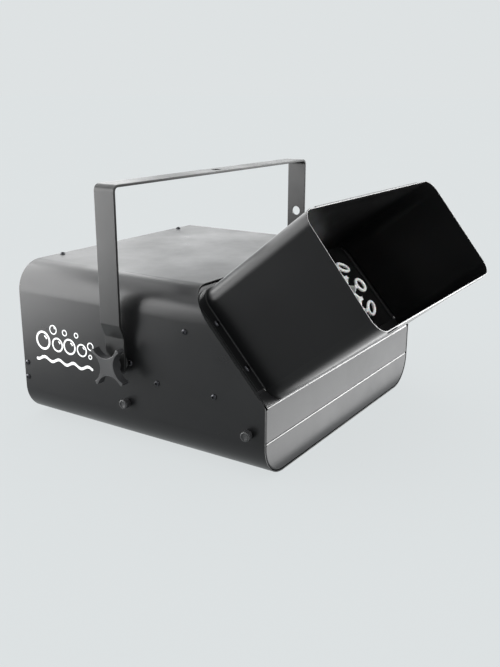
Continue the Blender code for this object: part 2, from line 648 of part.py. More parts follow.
def make_fuse_holder():
    x, z = FUSE
    turned("fuse_holder", [(0, FUSE_REACH), (6 * MM, FUSE_REACH), (6.8 * MM, 9 * MM), (7.2 * MM, 2 * MM),
                           (9 * MM, 2 * MM), (9 * MM, GAP), (6.2 * MM, GAP), (6.2 * MM, -24 * MM),
                           (0, -24 * MM)],
           (x, OUTSIDE, z), (0, 1, 0), BLACK_PLASTIC, 16)


def make_switch():
    x, z = SWITCH
    bezel = box_part("power_switch", (x - 11 * MM, OUTSIDE + GAP, z - 8 * MM),
                     (x + 11 * MM, OUTSIDE + 2.2 * MM, z + 8 * MM), BLACK_PLASTIC)
    body = box_part("switch_body", (x - 9.6 * MM, OUTSIDE - 16 * MM, z - 6.5 * MM),
                    (x + 9.6 * MM, OUTSIDE + 1 * MM, z + 6.5 * MM), None, CUTTERS)
    well = box_part("switch_well", (x - 8.6 * MM, OUTSIDE - 9 * MM, z - 5.6 * MM),
                    (x + 8.6 * MM, OUTSIDE + 5 * MM, z + 5.6 * MM), None, CUTTERS)
    cut(join(bezel, body), well)
    # Rocker: a shallow V in the X-Y plane, pressed at one end, turning about a vertical pin.
    pivot_y = OUTSIDE - 1.5 * MM
    outline = [(-8 * MM, 4.6 * MM), (0, 3.4 * MM), (8 * MM, 4.6 * MM), (8 * MM, -1 * MM),
               (3 * MM, -4 * MM), (-3 * MM, -4 * MM), (-8 * MM, -1 * MM)]
    tilt = Matrix.Rotation(math.radians(7), 4, 'Z')
    frame = Matrix.Translation((x, pivot_y, z)) @ tilt
    plate("power_rocker", [outline], 10.4 * MM, frame, BLACK_PLASTIC, origin=(x, pivot_y, z))


def make_data_socket(name, place, female):
    """Round three-pin connector on a flat flange."""
    x, z = place
    flange = box_part(name, (x - 13 * MM, OUTSIDE + GAP, z - 15.5 * MM),
                      (x + 13 * MM, OUTSIDE + 2.2 * MM, z + 15.5 * MM), BLACK_STEEL)
    bm = bmesh.new()
    rod(bm, (x, OUTSIDE - 10 * MM, z), (0, 1, 0), 11.7 * MM, 22 * MM, 20)
    barrel = mesh_part(name + "_barrel", bm, None, (x, OUTSIDE, z), CUTTERS)
    depth = 4 * MM if female else 14 * MM
    well = rod_cutter(name + "_well", (x, OUTSIDE + 5 * MM - depth / 2, z), (0, 1, 0), 9.4 * MM,
                      depth + 6 * MM, 20)
    cut(join(flange, barrel), well)
    if female:
        bm = bmesh.new()
        rod(bm, (x, OUTSIDE - 2 * MM, z), (0, 1, 0), 7.6 * MM, 7.6 * MM, 20)
        join(flange, mesh_part(name + "_insert", bm, None, (x, OUTSIDE, z), CUTTERS))


def make_display():
    x, z = DISPLAY
    box_part("display_window", (x - 27 * MM, OUTSIDE - SHEET - GAP - 1.4 * MM, z - 11 * MM),
             (x + 27 * MM, OUTSIDE - SHEET - GAP, z + 11 * MM), WINDOW)
    board_y = OUTSIDE - 8.6 * MM
    board = box_part("display_board", (-146 * MM, board_y - 1.6 * MM, 24 * MM),
                     (-64 * MM, board_y, 76 * MM), CIRCUIT)
    module = box_part("display_module", (x - 25 * MM, board_y - 0.5 * MM, z - 9 * MM),
                      (x + 25 * MM, board_y + 4.6 * MM, z + 9 * MM), None, CUTTERS)
    switches = [box_part(f"tact_switch_{i}", (bx - 3 * MM, board_y - 0.5 * MM, BUTTON_Z - 3 * MM),
                         (bx + 3 * MM, board_y + 3.5 * MM, BUTTON_Z + 3 * MM), None, CUTTERS)
                for i, bx in enumerate(BUTTON_X)]
    join(board, module, *switches)
    for name, bx in zip(("menu", "up", "down", "enter"), BUTTON_X):
        turned(f"button_{name}", [(0, 1.8 * MM), (2.9 * MM, 1.8 * MM), (BUTTON_R, 1.2 * MM),
                                  (BUTTON_R, -SHEET - GAP), (4.6 * MM, -SHEET - GAP),
                                  (4.6 * MM, -SHEET - GAP - 0.9 * MM), (0, -SHEET - GAP - 0.9 * MM)],
               (bx, OUTSIDE, BUTTON_Z), (0, 1, 0), BLACK_PLASTIC, 12)


def make_electronics():
    floor = 2 * SHEET + 2 * GAP
    box_part("power_supply", (50 * MM, 62 * MM, floor), (148 * MM, 140 * MM, 34 * MM), INNER_STEEL,
             bevel=1.5 * MM)
    deck = 12 * MM
    board = box_part("control_board", (-140 * MM, 70 * MM, deck), (-20 * MM, 150 * MM, deck + 1.6 * MM),
                     CIRCUIT)
    posts = [box_part(f"board_post_{i}", (x - 3 * MM, y - 3 * MM, floor), (x + 3 * MM, y + 3 * MM,
                                                                          deck + 0.5 * MM), None, CUTTERS)
             for i, (x, y) in enumerate((px, py) for px in (-134 * MM, -26 * MM)
                                        for py in (76 * MM, 144 * MM))]
    parts = [((-120, 90), (-85, 125), 26), ((-70, 85), (-55, 103), 16), ((-70, 112), (-55, 130), 16),
             ((-42, 90), (-28, 128), 12)]
    blocks = [box_part(f"board_block_{i}", (lo[0] * MM, lo[1] * MM, deck + 1 * MM),
                       (hi[0] * MM, hi[1] * MM, deck + height * MM), None, CUTTERS)
              for i, (lo, hi, height) in enumerate(parts)]
    join(board, *posts, *blocks)


# ---- yoke --------------------------------------------------------------------------------------------
def yoke_path():
    """Middle of the flat bar, from the left arm's end over the top to the right arm's end."""
    outer = YOKE_HALF_W - YOKE_T / 2
    inner = outer - YOKE_JOGGLE
    top = YOKE_TOP_Z - YOKE_T / 2
    bend = 5 * MM
    left = [(-inner, PIVOT_Z - YOKE_W / 2), (-inner, 131 * MM), (-outer, 146 * MM)]
    left += arc((-outer + bend, top - bend), bend, 180, 90, 4)
    return left + [(-x, z) for x, z in reversed(left)]


def make_yoke():
    path = yoke_path()
    bm = bmesh.new()
    rows = swept_sheet(bm, path, PIVOT_Y - YOKE_W / 2, PIVOT_Y + YOKE_W / 2)
    ends = [rows[i][j] for i in (0, 1) for j in (0, -1)]
    bmesh.ops.bevel(bm, geom=ends, offset=YOKE_W / 2 - 0.2 * MM, segments=5, affect='VERTICES',
                    offset_type='OFFSET', profile=0.5)
    bar = thicken(mesh_part("yoke", bm, BLACK_STEEL, (0, PIVOT_Y, PIVOT_Z)), YOKE_T, 0)
    cut(bar, rod_cutter("yoke_pivot_holes", (0, PIVOT_Y, PIVOT_Z), (1, 0, 0), 4.8 * MM, 430 * MM),
        rod_cutter("yoke_cable_hole", (YOKE_HALF_W, PIVOT_Y, 224.7 * MM), (1, 0, 0), 6.5 * MM, 20 * MM),
        rod_cutter("yoke_clamp_hole", (0, PIVOT_Y, YOKE_TOP_Z), (0, 0, 1), 6.5 * MM, 20 * MM))


def star_outline(steps=9):
    """Four arms with blunt tips and concave flanks, each flank an arc between two tips."""
    tip_x, tip_y, lead = KNOB_TIP_R - 1 * MM, 2.8 * MM, math.radians(38)
    middle = (tip_x + tip_y) / math.sqrt(2)
    chord = tip_x ** 2 + tip_y ** 2
    reach = (chord - KNOB_WAIST_R ** 2) / (2 * (middle - KNOB_WAIST_R))
    flank_r = reach - KNOB_WAIST_R
    centre = (reach / math.sqrt(2), reach / math.sqrt(2))
    start = math.degrees(math.atan2(tip_y - centre[1], tip_x - centre[0])) % 360
    quarter = [(KNOB_TIP_R, -1.8 * MM), (KNOB_TIP_R, 1.8 * MM)]
    quarter += arc(centre, flank_r, start, 450 - start, steps)
    points = []
    for i in range(4):
        c, s = math.cos(lead + i * math.pi / 2), math.sin(lead + i * math.pi / 2)
        points += [(x * c - y * s, x * s + y * c) for x, y in quarter]
    return points


def make_yoke_clamp(side, name):
    """Star knob with its stud, the friction washer under the arm and the nut inside the housing."""
    arm_face = YOKE_HALF_W - YOKE_JOGGLE
    centre = Vector((side * (arm_face + GAP), PIVOT_Y, PIVOT_Z))
    star_low, star_high = 4 * MM, 14.5 * MM
    frame = plane_at_x(centre.x + side * (star_low + star_high) / 2) @ Matrix.Translation(
        (PIVOT_Y, PIVOT_Z, 0))
    knob = plate(f"star_knob_{name}", [star_outline()], star_high - star_low, frame, BLACK_PLASTIC,
                 origin=centre)
    stud = turned(f"knob_stud_{name}", [(0, star_high - 1 * MM), (9 * MM, star_high - 1 * MM), (9 * MM, 0),
                                        (4 * MM, 0), (4 * MM, -26 * MM), (0, -26 * MM)],
                  centre, (side, 0, 0), None, 20, CUTTERS)
    join(knob, stud)
    washer_low, washer_high, washer_r = HALF_W + GAP, arm_face - YOKE_T - GAP, 9.4 * MM
    turned(f"friction_washer_{name}", [(washer_r, washer_high), (washer_r, washer_low),
                                       (4.4 * MM, washer_low), (4.4 * MM, washer_high)],
           (0, PIVOT_Y, PIVOT_Z), (side, 0, 0), RUBBER, 20)
    nut_t = 7 * MM
    nut_x = side * (HALF_W - SHEET - GAP - nut_t / 2)
    plate(f"yoke_nut_{name}", [circle((0, 0), 10 * MM, 6), circle((0, 0), 4.4 * MM, 16)], nut_t,
          plane_at_x(nut_x) @ Matrix.Translation((PIVOT_Y, PIVOT_Z, 0)), STEEL)


make_housing()
make_front_panel()
make_slope_frame()
make_duct()
make_tray()
make_thumb_screws()
make_wheel_drive()
for SIDE, NAME in ((-1, "left"), (1, "right")):
    make_wheel_bracket(SIDE, NAME)
    make_fan(SIDE, NAME)
    make_yoke_clamp(SIDE, NAME)
make_bulkhead()
make_rear_panel()
make_inlet()
make_fuse_holder()
make_switch()
make_data_socket("data_in_socket", DATA_IN, female=False)
make_data_socket("data_out_socket", DATA_OUT, female=True)
make_display()
make_electronics()
make_yoke()
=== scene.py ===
"""Looks of the stage bubble machine: fine pieces, materials, studio light and camera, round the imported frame.

Everything is drawn in the machine's own coordinates, with Z = 0 at the underside of the housing and Y = 0 at
the middle of its depth. place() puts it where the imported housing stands.
"""
import math

import bmesh
import bpy
from mathutils import Matrix, Vector


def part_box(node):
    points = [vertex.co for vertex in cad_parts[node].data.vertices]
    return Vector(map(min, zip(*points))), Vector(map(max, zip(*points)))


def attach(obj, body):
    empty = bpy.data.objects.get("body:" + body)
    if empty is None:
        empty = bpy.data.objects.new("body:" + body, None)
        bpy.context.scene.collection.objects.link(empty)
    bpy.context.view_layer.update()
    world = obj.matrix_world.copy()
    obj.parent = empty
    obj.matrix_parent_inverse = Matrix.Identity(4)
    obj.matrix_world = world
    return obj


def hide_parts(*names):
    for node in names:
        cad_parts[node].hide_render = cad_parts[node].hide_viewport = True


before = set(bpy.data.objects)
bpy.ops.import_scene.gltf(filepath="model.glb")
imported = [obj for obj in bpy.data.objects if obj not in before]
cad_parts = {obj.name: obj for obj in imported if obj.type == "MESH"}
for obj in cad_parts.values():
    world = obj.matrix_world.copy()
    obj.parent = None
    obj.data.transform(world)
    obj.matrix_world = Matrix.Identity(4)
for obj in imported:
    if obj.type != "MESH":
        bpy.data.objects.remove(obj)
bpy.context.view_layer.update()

MM = 0.001

# ---- sizes, from the frame and from the same driving dimensions as its parts --------------------------
cover_low, cover_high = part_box("housing_cover")
BASE = Vector((0, (cover_low.y + cover_high.y) / 2, cover_low.z))
HALF_W = cover_high.x
HALF_D = (cover_high.y - cover_low.y) / 2
BODY_H = cover_high.z - cover_low.z


def own_box(node):
    """A node's corners in the machine's own coordinates."""
    low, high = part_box(node)
    return low - BASE, high - BASE


def own_centre(node):
    low, high = own_box(node)
    return (low + high) / 2


SHEET = 1.2 * MM
GAP = 0.3 * MM
INSET = SHEET + GAP
TOP_R = 36 * MM
BOTTOM_R = 38 * MM
LIP_X = 0.3 * MM
SEAM_Z = 42.8 * MM
FRONT_TOP_Z = 83.1 * MM
SLOPE = math.radians(48.1)
DUCT_AXIS = math.radians(38.7)
DUCT_HALF_W = 170 * MM
DUCT_LOW = 0.4 * MM
DUCT_H = 142 * MM
DUCT_L = 146.5 * MM
DUCT_R = 19 * MM
FLANGE_X = 183 * MM
THUMB_Z = 51 * MM
THUMB_Y = (8 * MM, -158 * MM)
PIVOT = Vector((0, 15 * MM, 99 * MM))
YOKE_W = 28 * MM
YOKE_T = 3 * MM
YOKE_HALF_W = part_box("yoke")[1].x
YOKE_TOP_Z = own_box("yoke")[1].z
YOKE_JOGGLE = 6 * MM
KNOB_TIP_R = 28 * MM
KNOB_WAIST_R = 10 * MM
REAR_OUT = own_box("rear_panel")[1].y
WHEEL_AXIS = own_centre("wheel_shaft")
FAN_BORE_R = 43 * MM

OUT_OF_DUCT = Vector((0, -math.cos(DUCT_AXIS), math.sin(DUCT_AXIS)))
ACROSS_DUCT = Vector((0, math.sin(DUCT_AXIS), math.cos(DUCT_AXIS)))
SLOPE_UP = Vector((0, math.cos(SLOPE), math.sin(SLOPE)))
SLOPE_OUT = Vector((0, -math.sin(SLOPE), math.cos(SLOPE)))
CORNER = Vector((0, -HALF_D, FRONT_TOP_Z))


# ---- materials ---------------------------------------------------------------------------------------
class Nodes:
    """Short way to write a material's node tree."""

    def __init__(self, name):
        self.material = bpy.data.materials.new(name)
        self.material.use_nodes = True
        self.tree = self.material.node_tree
        self.shader = self.tree.nodes["Principled BSDF"]
        self.place = self.add("ShaderNodeTexCoord").outputs["Object"]

    def add(self, kind, **values):
        node = self.tree.nodes.new(kind)
        for key, value in values.items():
            setattr(node, key, value)
        return node

    def link(self, source, target):
        self.tree.links.new(source, target)

    def noise(self, scale, detail=3.0, roughness=0.5, stretch=(1, 1, 1)):
        mapping = self.add("ShaderNodeMapping")
        mapping.inputs["Scale"].default_value = stretch
        self.link(self.place, mapping.inputs["Vector"])
        noise = self.add("ShaderNodeTexNoise")
        noise.inputs["Scale"].default_value = scale
        noise.inputs["Detail"].default_value = detail
        noise.inputs["Roughness"].default_value = roughness
        self.link(mapping.outputs["Vector"], noise.inputs["Vector"])
        return noise.outputs["Fac"]

    def spread(self, source, low, high, start=0.3, end=0.7):
        """source, from start to end, as a value from low to high."""
        ramp = self.add("ShaderNodeMapRange")
        for key, value in (("From Min", start), ("From Max", end), ("To Min", low), ("To Max", high)):
            ramp.inputs[key].default_value = value
        self.link(source, ramp.inputs["Value"])
        return ramp.outputs["Result"]

    def blend(self, factor, colour_a, colour_b):
        mix = self.add("ShaderNodeMix", data_type='RGBA')
        self.link(factor, mix.inputs["Factor"])
        for socket, colour in (("A", colour_a), ("B", colour_b)):
            target = next(s for s in mix.inputs if s.name == socket and s.type == 'RGBA')
            if isinstance(colour, tuple):
                target.default_value = (*colour, 1)
            else:
                self.link(colour, target)
        return next(s for s in mix.outputs if s.type == 'RGBA')

    def bump(self, height, strength, distance):
        bump = self.add("ShaderNodeBump")
        bump.inputs["Strength"].default_value = strength
        bump.inputs["Distance"].default_value = distance
        self.link(height, bump.inputs["Height"])
        self.link(bump.outputs["Normal"], self.shader.inputs["Normal"])

    def set(self, **values):
        for key, value in values.items():
            self.shader.inputs[key.replace("_", " ")].default_value = value


def powder_coat(name, colour, worn, rough_low, rough_high, peel=0.05, shine=0.36):
    """Baked powder coat: fine orange peel, slow changes of gloss, a little lighter where edges are rubbed."""
    mat = Nodes(name)
    tone = mat.spread(mat.noise(9, 4), 0, 0.35)
    rubbed = mat.spread(mat.add("ShaderNodeNewGeometry").outputs["Pointiness"], 0, 0.5, 0.53, 0.6)
    body = mat.blend(tone, colour, tuple(1.3 * c for c in colour))
    mat.link(mat.blend(rubbed, body, worn), mat.shader.inputs["Base Color"])
    mat.link(mat.spread(mat.noise(14, 5, 0.6), rough_low, rough_high), mat.shader.inputs["Roughness"])
    mat.bump(mat.noise(650, 2), peel, 0.0004)
    mat.set(Specular_IOR_Level=shine)
    return mat.material


def moulded(name, colour, rough_low, rough_high, grain=900, depth=0.12, sheen=0.0):
    """Moulded plastic with the fine grain of a spark-eroded tool."""
    mat = Nodes(name)
    mat.link(mat.blend(mat.spread(mat.noise(30, 4), 0, 1), colour, tuple(1.25 * c for c in colour)),
             mat.shader.inputs["Base Color"])
    mat.link(mat.spread(mat.noise(60, 4), rough_low, rough_high), mat.shader.inputs["Roughness"])
    mat.bump(mat.noise(grain, 2), depth, 0.0003)
    mat.set(Sheen_Weight=sheen)
    return mat.material


def glossy_white(name):
    mat = Nodes(name)
    mat.link(mat.blend(mat.spread(mat.noise(25, 3), 0, 1), (0.80, 0.80, 0.78), (0.88, 0.88, 0.87)),
             mat.shader.inputs["Base Color"])
    mat.link(mat.spread(mat.noise(80, 3), 0.22, 0.34), mat.shader.inputs["Roughness"])
    mat.bump(mat.noise(400, 2), 0.05, 0.0003)
    mat.set(Subsurface_Weight=0.15, Subsurface_Scale=0.004, Coat_Weight=0.3, Coat_Roughness=0.15)
    return mat.material


def plated(name, colour, rough_low, rough_high, stretch=(1, 1, 1)):
    """Plated or bare metal with drawn lines along its least stretched axis."""
    mat = Nodes(name)
    lines = mat.noise(350, 3, 0.6, stretch)
    mat.link(mat.blend(mat.spread(mat.noise(40, 4), 0, 1), colour, tuple(0.8 * c for c in colour)),
             mat.shader.inputs["Base Color"])
    mat.link(mat.spread(lines, rough_low, rough_high), mat.shader.inputs["Roughness"])
    mat.bump(lines, 0.06, 0.0002)
    mat.set(Metallic=1.0)
    return mat.material


def circuit(name):
    """Green solder mask over fine copper tracks."""
    mat = Nodes(name)
    tracks = mat.add("ShaderNodeTexBrick", offset=0.35)
    tracks.inputs["Scale"].default_value = 160
    tracks.inputs["Mortar Size"].default_value = 0.03
    for socket, colour in (("Color1", (0.01, 0.11, 0.045)), ("Color2", (0.012, 0.14, 0.055)),
                           ("Mortar", (0.03, 0.26, 0.10))):
        tracks.inputs[socket].default_value = (*colour, 1)
    mat.link(mat.place, tracks.inputs["Vector"])
    mat.link(tracks.outputs["Color"], mat.shader.inputs["Base Color"])
    mat.link(mat.spread(mat.noise(90, 3), 0.3, 0.45), mat.shader.inputs["Roughness"])
    return mat.material


def printed_white(name):
    """Screen-printed white ink, slightly uneven."""
    mat = Nodes(name)
    mat.link(mat.blend(mat.spread(mat.noise(300, 4), 0, 1), (0.78, 0.78, 0.78), (0.9, 0.9, 0.9)),
             mat.shader.inputs["Base Color"])
    mat.link(mat.spread(mat.noise(500, 3), 0.45, 0.6), mat.shader.inputs["Roughness"])
    return mat.material


def tinted(name):
    mat = Nodes(name)
    mat.link(mat.blend(mat.spread(mat.noise(20, 2), 0, 1), (0.03, 0.006, 0.006), (0.05, 0.01, 0.01)),
             mat.shader.inputs["Base Color"])
    mat.link(mat.spread(mat.noise(50, 3), 0.05, 0.12), mat.shader.inputs["Roughness"])
    mat.set(Coat_Weight=0.6, Coat_Roughness=0.04)
    return mat.material


HOUSING = powder_coat("housing_powder_coat", (0.004, 0.004, 0.0045), (0.03, 0.03, 0.03), 0.27, 0.36, shine=0.33)
# The duct's coat is painted lighter than the housing's, as painted light that lifts the shaded inside of the
# duct; its lower shine keeps the outer wall dark.
DUCT_COAT_PAINTED_LIGHT = powder_coat("duct_coat_with_painted_light", (0.0055, 0.0055, 0.0058), (0.03, 0.03, 0.03), 0.27, 0.36, shine=0.18)
YOKE_COAT = powder_coat("yoke_powder_coat", (0.008, 0.008, 0.008), (0.05, 0.05, 0.05), 0.30, 0.40, 0.08)
INSIDE = powder_coat("inner_powder_coat", (0.008, 0.008, 0.009), (0.03, 0.03, 0.03), 0.45, 0.6)
BLACK_PLASTIC = moulded("black_moulded_plastic", (0.016, 0.016, 0.017), 0.42, 0.55)
KNOB_PLASTIC = moulded("knob_plastic", (0.022, 0.022, 0.023), 0.36, 0.5, 700, 0.2)
FAN_PLASTIC = moulded("fan_plastic", (0.012, 0.012, 0.013), 0.4, 0.5)
SOFT_RUBBER = moulded("soft_rubber", (0.018, 0.018, 0.018), 0.75, 0.9, 500, 0.3, 0.3)
WHITE = glossy_white("white_ring_plastic")
BLACK_SCREW = plated("black_oxide_steel", (0.05, 0.05, 0.055), 0.25, 0.4)
ZINC = plated("zinc_plated_steel", (0.62, 0.62, 0.63), 0.25, 0.4)
GROUND = plated("ground_shaft_steel", (0.66, 0.66, 0.67), 0.15, 0.3, (0.05, 1, 1))
BRASS = plated("turned_brass", (0.72, 0.52, 0.24), 0.2, 0.35, (0.05, 1, 1))
SHEET_ZINC = plated("galvanised_sheet", (0.5, 0.51, 0.52), 0.35, 0.55, (1, 0.1, 1))
BOARD = circuit("green_circuit_board")
INK = printed_white("white_print")
WINDOW = tinted("tinted_window")
BLACK_NICKEL = plated("black_nickel", (0.12, 0.12, 0.125), 0.25, 0.38)


# ---- building tools ----------------------------------------------------------------------------------
def place(name, mesh, mat, body, replaced=()):
    """Put a finished mesh in the machine and let it ride on its body."""
    obj = bpy.data.objects.new(name, mesh)
    obj.location = BASE
    bpy.context.scene.collection.objects.link(obj)
    mesh.materials.clear()
    mesh.materials.append(mat)
    if replaced:
        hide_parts(*replaced)
    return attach(obj, body)


def new_mesh(name, bm):
    bmesh.ops.recalc_face_normals(bm, faces=bm.faces)
    mesh = bpy.data.meshes.new(name)
    bm.to_mesh(mesh)
    bm.free()
    return mesh


def with_modifiers(mesh, *steps):
    """Apply modifiers, each a (type, {setting: value}) pair, and return the resulting mesh."""
    obj = bpy.data.objects.new("work", mesh)
    bpy.context.scene.collection.objects.link(obj)
    for kind, settings in steps:
        modifier = obj.modifiers.new(kind.lower(), kind)
        for key, value in settings.items():
            setattr(modifier, key, value)
    graph = bpy.context.evaluated_depsgraph_get()
    result = bpy.data.meshes.new_from_object(obj.evaluated_get(graph), preserve_all_data_layers=True,
                                             depsgraph=graph)
    result.name = mesh.name
    bpy.data.objects.remove(obj)
    return result


def smooth(mesh, angle=35):
    mesh.shade_smooth()
    mesh.set_sharp_from_angle(angle=math.radians(angle))
    return mesh


def soften(mesh, width=0.35 * MM, segments=2, angle=32):
    """Round every sharp edge a little, and keep flat faces flat in the shading."""
    mesh.shade_smooth()
    return with_modifiers(mesh,
                          ('BEVEL', {"width": width, "segments": segments, "limit_method": 'ANGLE',
                                     "angle_limit": math.radians(angle), "use_clamp_overlap": True,
                                     "miter_outer": 'MITER_ARC'}),
                          ('WEIGHTED_NORMAL', {"keep_sharp": True, "weight": 60}))


def solid_sheet(mesh, thickness=SHEET, offset=-1):
    return with_modifiers(mesh, ('SOLIDIFY', {"thickness": thickness, "offset": offset,
                                              "use_even_offset": True}))


def boolean(mesh, operation, cutters):
    """Combine mesh with each cutter mesh, exactly."""
    objects = []
    steps = []
    for cutter in cutters:
        obj = bpy.data.objects.new("cutter", cutter)
        bpy.context.scene.collection.objects.link(obj)
        objects.append(obj)
        steps.append(('BOOLEAN', {"operation": operation, "object": obj, "solver": 'EXACT'}))
    result = with_modifiers(mesh, *steps)
    for obj in objects:
        bpy.data.objects.remove(obj)
    return result


def cut(mesh, *cutters):
    return boolean(mesh, 'DIFFERENCE', cutters)


def join(mesh, *others):
    return boolean(mesh, 'UNION', others)


def turn_to(axis):
    return Vector((0, 0, 1)).rotation_difference(Vector(axis)).to_matrix().to_4x4()


def rod(centre, axis, radius, length, segments=32):
    bm = bmesh.new()
    bmesh.ops.create_cone(bm, cap_ends=True, segments=segments, radius1=radius, radius2=radius, depth=length,
                          matrix=Matrix.Translation(centre) @ turn_to(axis))
    return new_mesh("rod", bm)


def block(low, high):
    low, high = Vector(low), Vector(high)
    bm = bmesh.new()
    bmesh.ops.create_cube(bm, size=1, matrix=Matrix.Translation((low + high) / 2)
                          @ Matrix.Diagonal((*(high - low), 1)))
    return new_mesh("block", bm)


def lathe(name, profile, origin=(0, 0, 0), axis=(0, 0, 1), segments=40):
    """Solid of revolution. profile lists (radius, height) from one end of the axis to the other."""
    bm = bmesh.new()
    rings = []
    for radius, height in profile:
        if radius < 1e-7:
            rings.append([bm.verts.new((0, 0, height))])
        else:
            rings.append([bm.verts.new((radius * math.cos(a), radius * math.sin(a), height))
                          for a in (math.tau * i / segments for i in range(segments))])
    closed = profile[0][0] > 1e-7 and profile[-1][0] > 1e-7
    pairs = list(zip(rings, rings[1:])) + ([(rings[-1], rings[0])] if closed else [])
    for first, second in pairs:
        for i in range(segments):
            j = (i + 1) % segments
            corners = [first[i % len(first)], first[j % len(first)], second[j % len(second)],
                       second[i % len(second)]]
            bm.faces.new(list(dict.fromkeys(corners)))
    bmesh.ops.transform(bm, matrix=Matrix.Translation(origin) @ turn_to(axis), verts=bm.verts)
    return new_mesh(name, bm)


def merged(name, meshes):
    """Several closed meshes as one, for small identical pieces on one body."""
    bm = bmesh.new()
    for mesh in meshes:
        bm.from_mesh(mesh)
    result = bpy.data.meshes.new(name)
    bm.to_mesh(result)
    bm.free()
    return result


def moved(mesh, matrix):
    copy = mesh.copy()
    copy.transform(matrix)
    return copy


def arc(centre, radius, start, end, segments):
    angles = [math.radians(start + (end - start) * i / segments) for i in range(segments + 1)]
    return [(centre[0] + radius * math.cos(a), centre[1] + radius * math.sin(a)) for a in angles]


def circle(centre, radius, segments=32):
    return arc(centre, radius, 0, 360 - 360 / segments, segments - 1)


def rounded_rectangle(centre, half_w, half_h, radius, segments=6):
    (x, y), w, h = centre, half_w - radius, half_h - radius
    corners = ((x + w, y - h, -90), (x + w, y + h, 0), (x - w, y + h, 90), (x - w, y - h, 180))
    points = []
    for cx, cy, start in corners:
        points += arc((cx, cy), radius, start, start + 90, segments)
    return points


def rounded_box(half_w, low, high, low_r, high_r, segments):
    """Closed outline centred across, with its own radii for the low and the high corners."""
    right = (arc((half_w - low_r, low + low_r), low_r, -90, 0, segments)
             + arc((half_w - high_r, high - high_r), high_r, 0, 90, segments))
    return right + [(-x, y) for x, y in reversed(right)]


def plate(name, loops, thickness, matrix):
    """Flat plate with holes, from a filled 2D curve."""
    curve = bpy.data.curves.new(name, 'CURVE')
    curve.dimensions = '2D'
    curve.fill_mode = 'BOTH'
    curve.extrude = thickness / 2
    for loop in loops:
        spline = curve.splines.new('POLY')
        spline.points.add(len(loop) - 1)
        spline.use_cyclic_u = True
        for point, (x, y) in zip(spline.points, loop):
            point.co = (x, y, 0, 1)
    blank = bpy.data.objects.new(name, curve)
    bpy.context.scene.collection.objects.link(blank)
    graph = bpy.context.evaluated_depsgraph_get()
    flat = bpy.data.meshes.new_from_object(blank.evaluated_get(graph))
    bm = bmesh.new()
    bm.from_mesh(flat)
    bpy.data.objects.remove(blank)
    bmesh.ops.remove_doubles(bm, verts=bm.verts, dist=0.000005)
    bmesh.ops.dissolve_limit(bm, angle_limit=0.001, verts=bm.verts, edges=bm.edges)
    bmesh.ops.transform(bm, matrix=matrix, verts=bm.verts)
    return new_mesh(name, bm)


def plane_at_y(y):
    """Outline axes are X and Z."""
    return Matrix.Translation((0, y, 0)) @ Matrix.Rotation(math.radians(90), 4, 'X')


def plane_at_x(x):
    """Outline axes are Y and Z."""
    return Matrix(((0, 0, 1, x), (1, 0, 0, 0), (0, 1, 0, 0), (0, 0, 0, 1)))


def strip(bm, first, second):
    """Faces between two rows of vertices."""
    for i in range(len(first) - 1):
        bm.faces.new((first[i], first[i + 1], second[i + 1], second[i]))


def face_outwards(bm, direction):
    """Turn an open surface so that its face furthest along direction looks that way."""
    bmesh.ops.recalc_face_normals(bm, faces=bm.faces)
    direction = Vector(direction)
    outer = max(bm.faces, key=lambda f: f.calc_center_median().dot(direction))
    if outer.normal.dot(direction) < 0:
        bmesh.ops.reverse_faces(bm, faces=bm.faces)


def open_mesh(name, bm, direction):
    face_outwards(bm, direction)
    mesh = bpy.data.meshes.new(name)
    bm.to_mesh(mesh)
    bm.free()
    return mesh


# ---- sheet metal -------------------------------------------------------------------------------------
def make_cover():
    left = ([(-LIP_X, 0)]
            + arc((-HALF_W + BOTTOM_R, BOTTOM_R), BOTTOM_R, 270, 180, 20)
            + arc((-HALF_W + TOP_R, BODY_H - TOP_R), TOP_R, 180, 90, 24))
    outline = left + [(-x, z) for x, z in reversed(left)]
    bm = bmesh.new()
    rows = [[bm.verts.new((x, y, z)) for x, z in outline] for y in (-HALF_D, HALF_D)]
    strip(bm, *rows)
    bmesh.ops.bisect_plane(bm, geom=bm.verts[:] + bm.edges[:] + bm.faces[:], dist=0.000001,
                           plane_co=CORNER, plane_no=SLOPE_OUT, clear_outer=True)
    shell = solid_sheet(open_mesh("cover_shell", bm, (0, 0, 1)))
    holes = [rod((0, PIVOT.y, PIVOT.z), (1, 0, 0), 4.8 * MM, 2.2 * HALF_W)]
    holes += [rod((0, y, THUMB_Z), (1, 0, 0), 3.2 * MM, 2.2 * HALF_W) for y in THUMB_Y]
    place("cover_shell", soften(cut(shell, *holes), 0.3 * MM), HOUSING, "housing", ["housing_cover"])


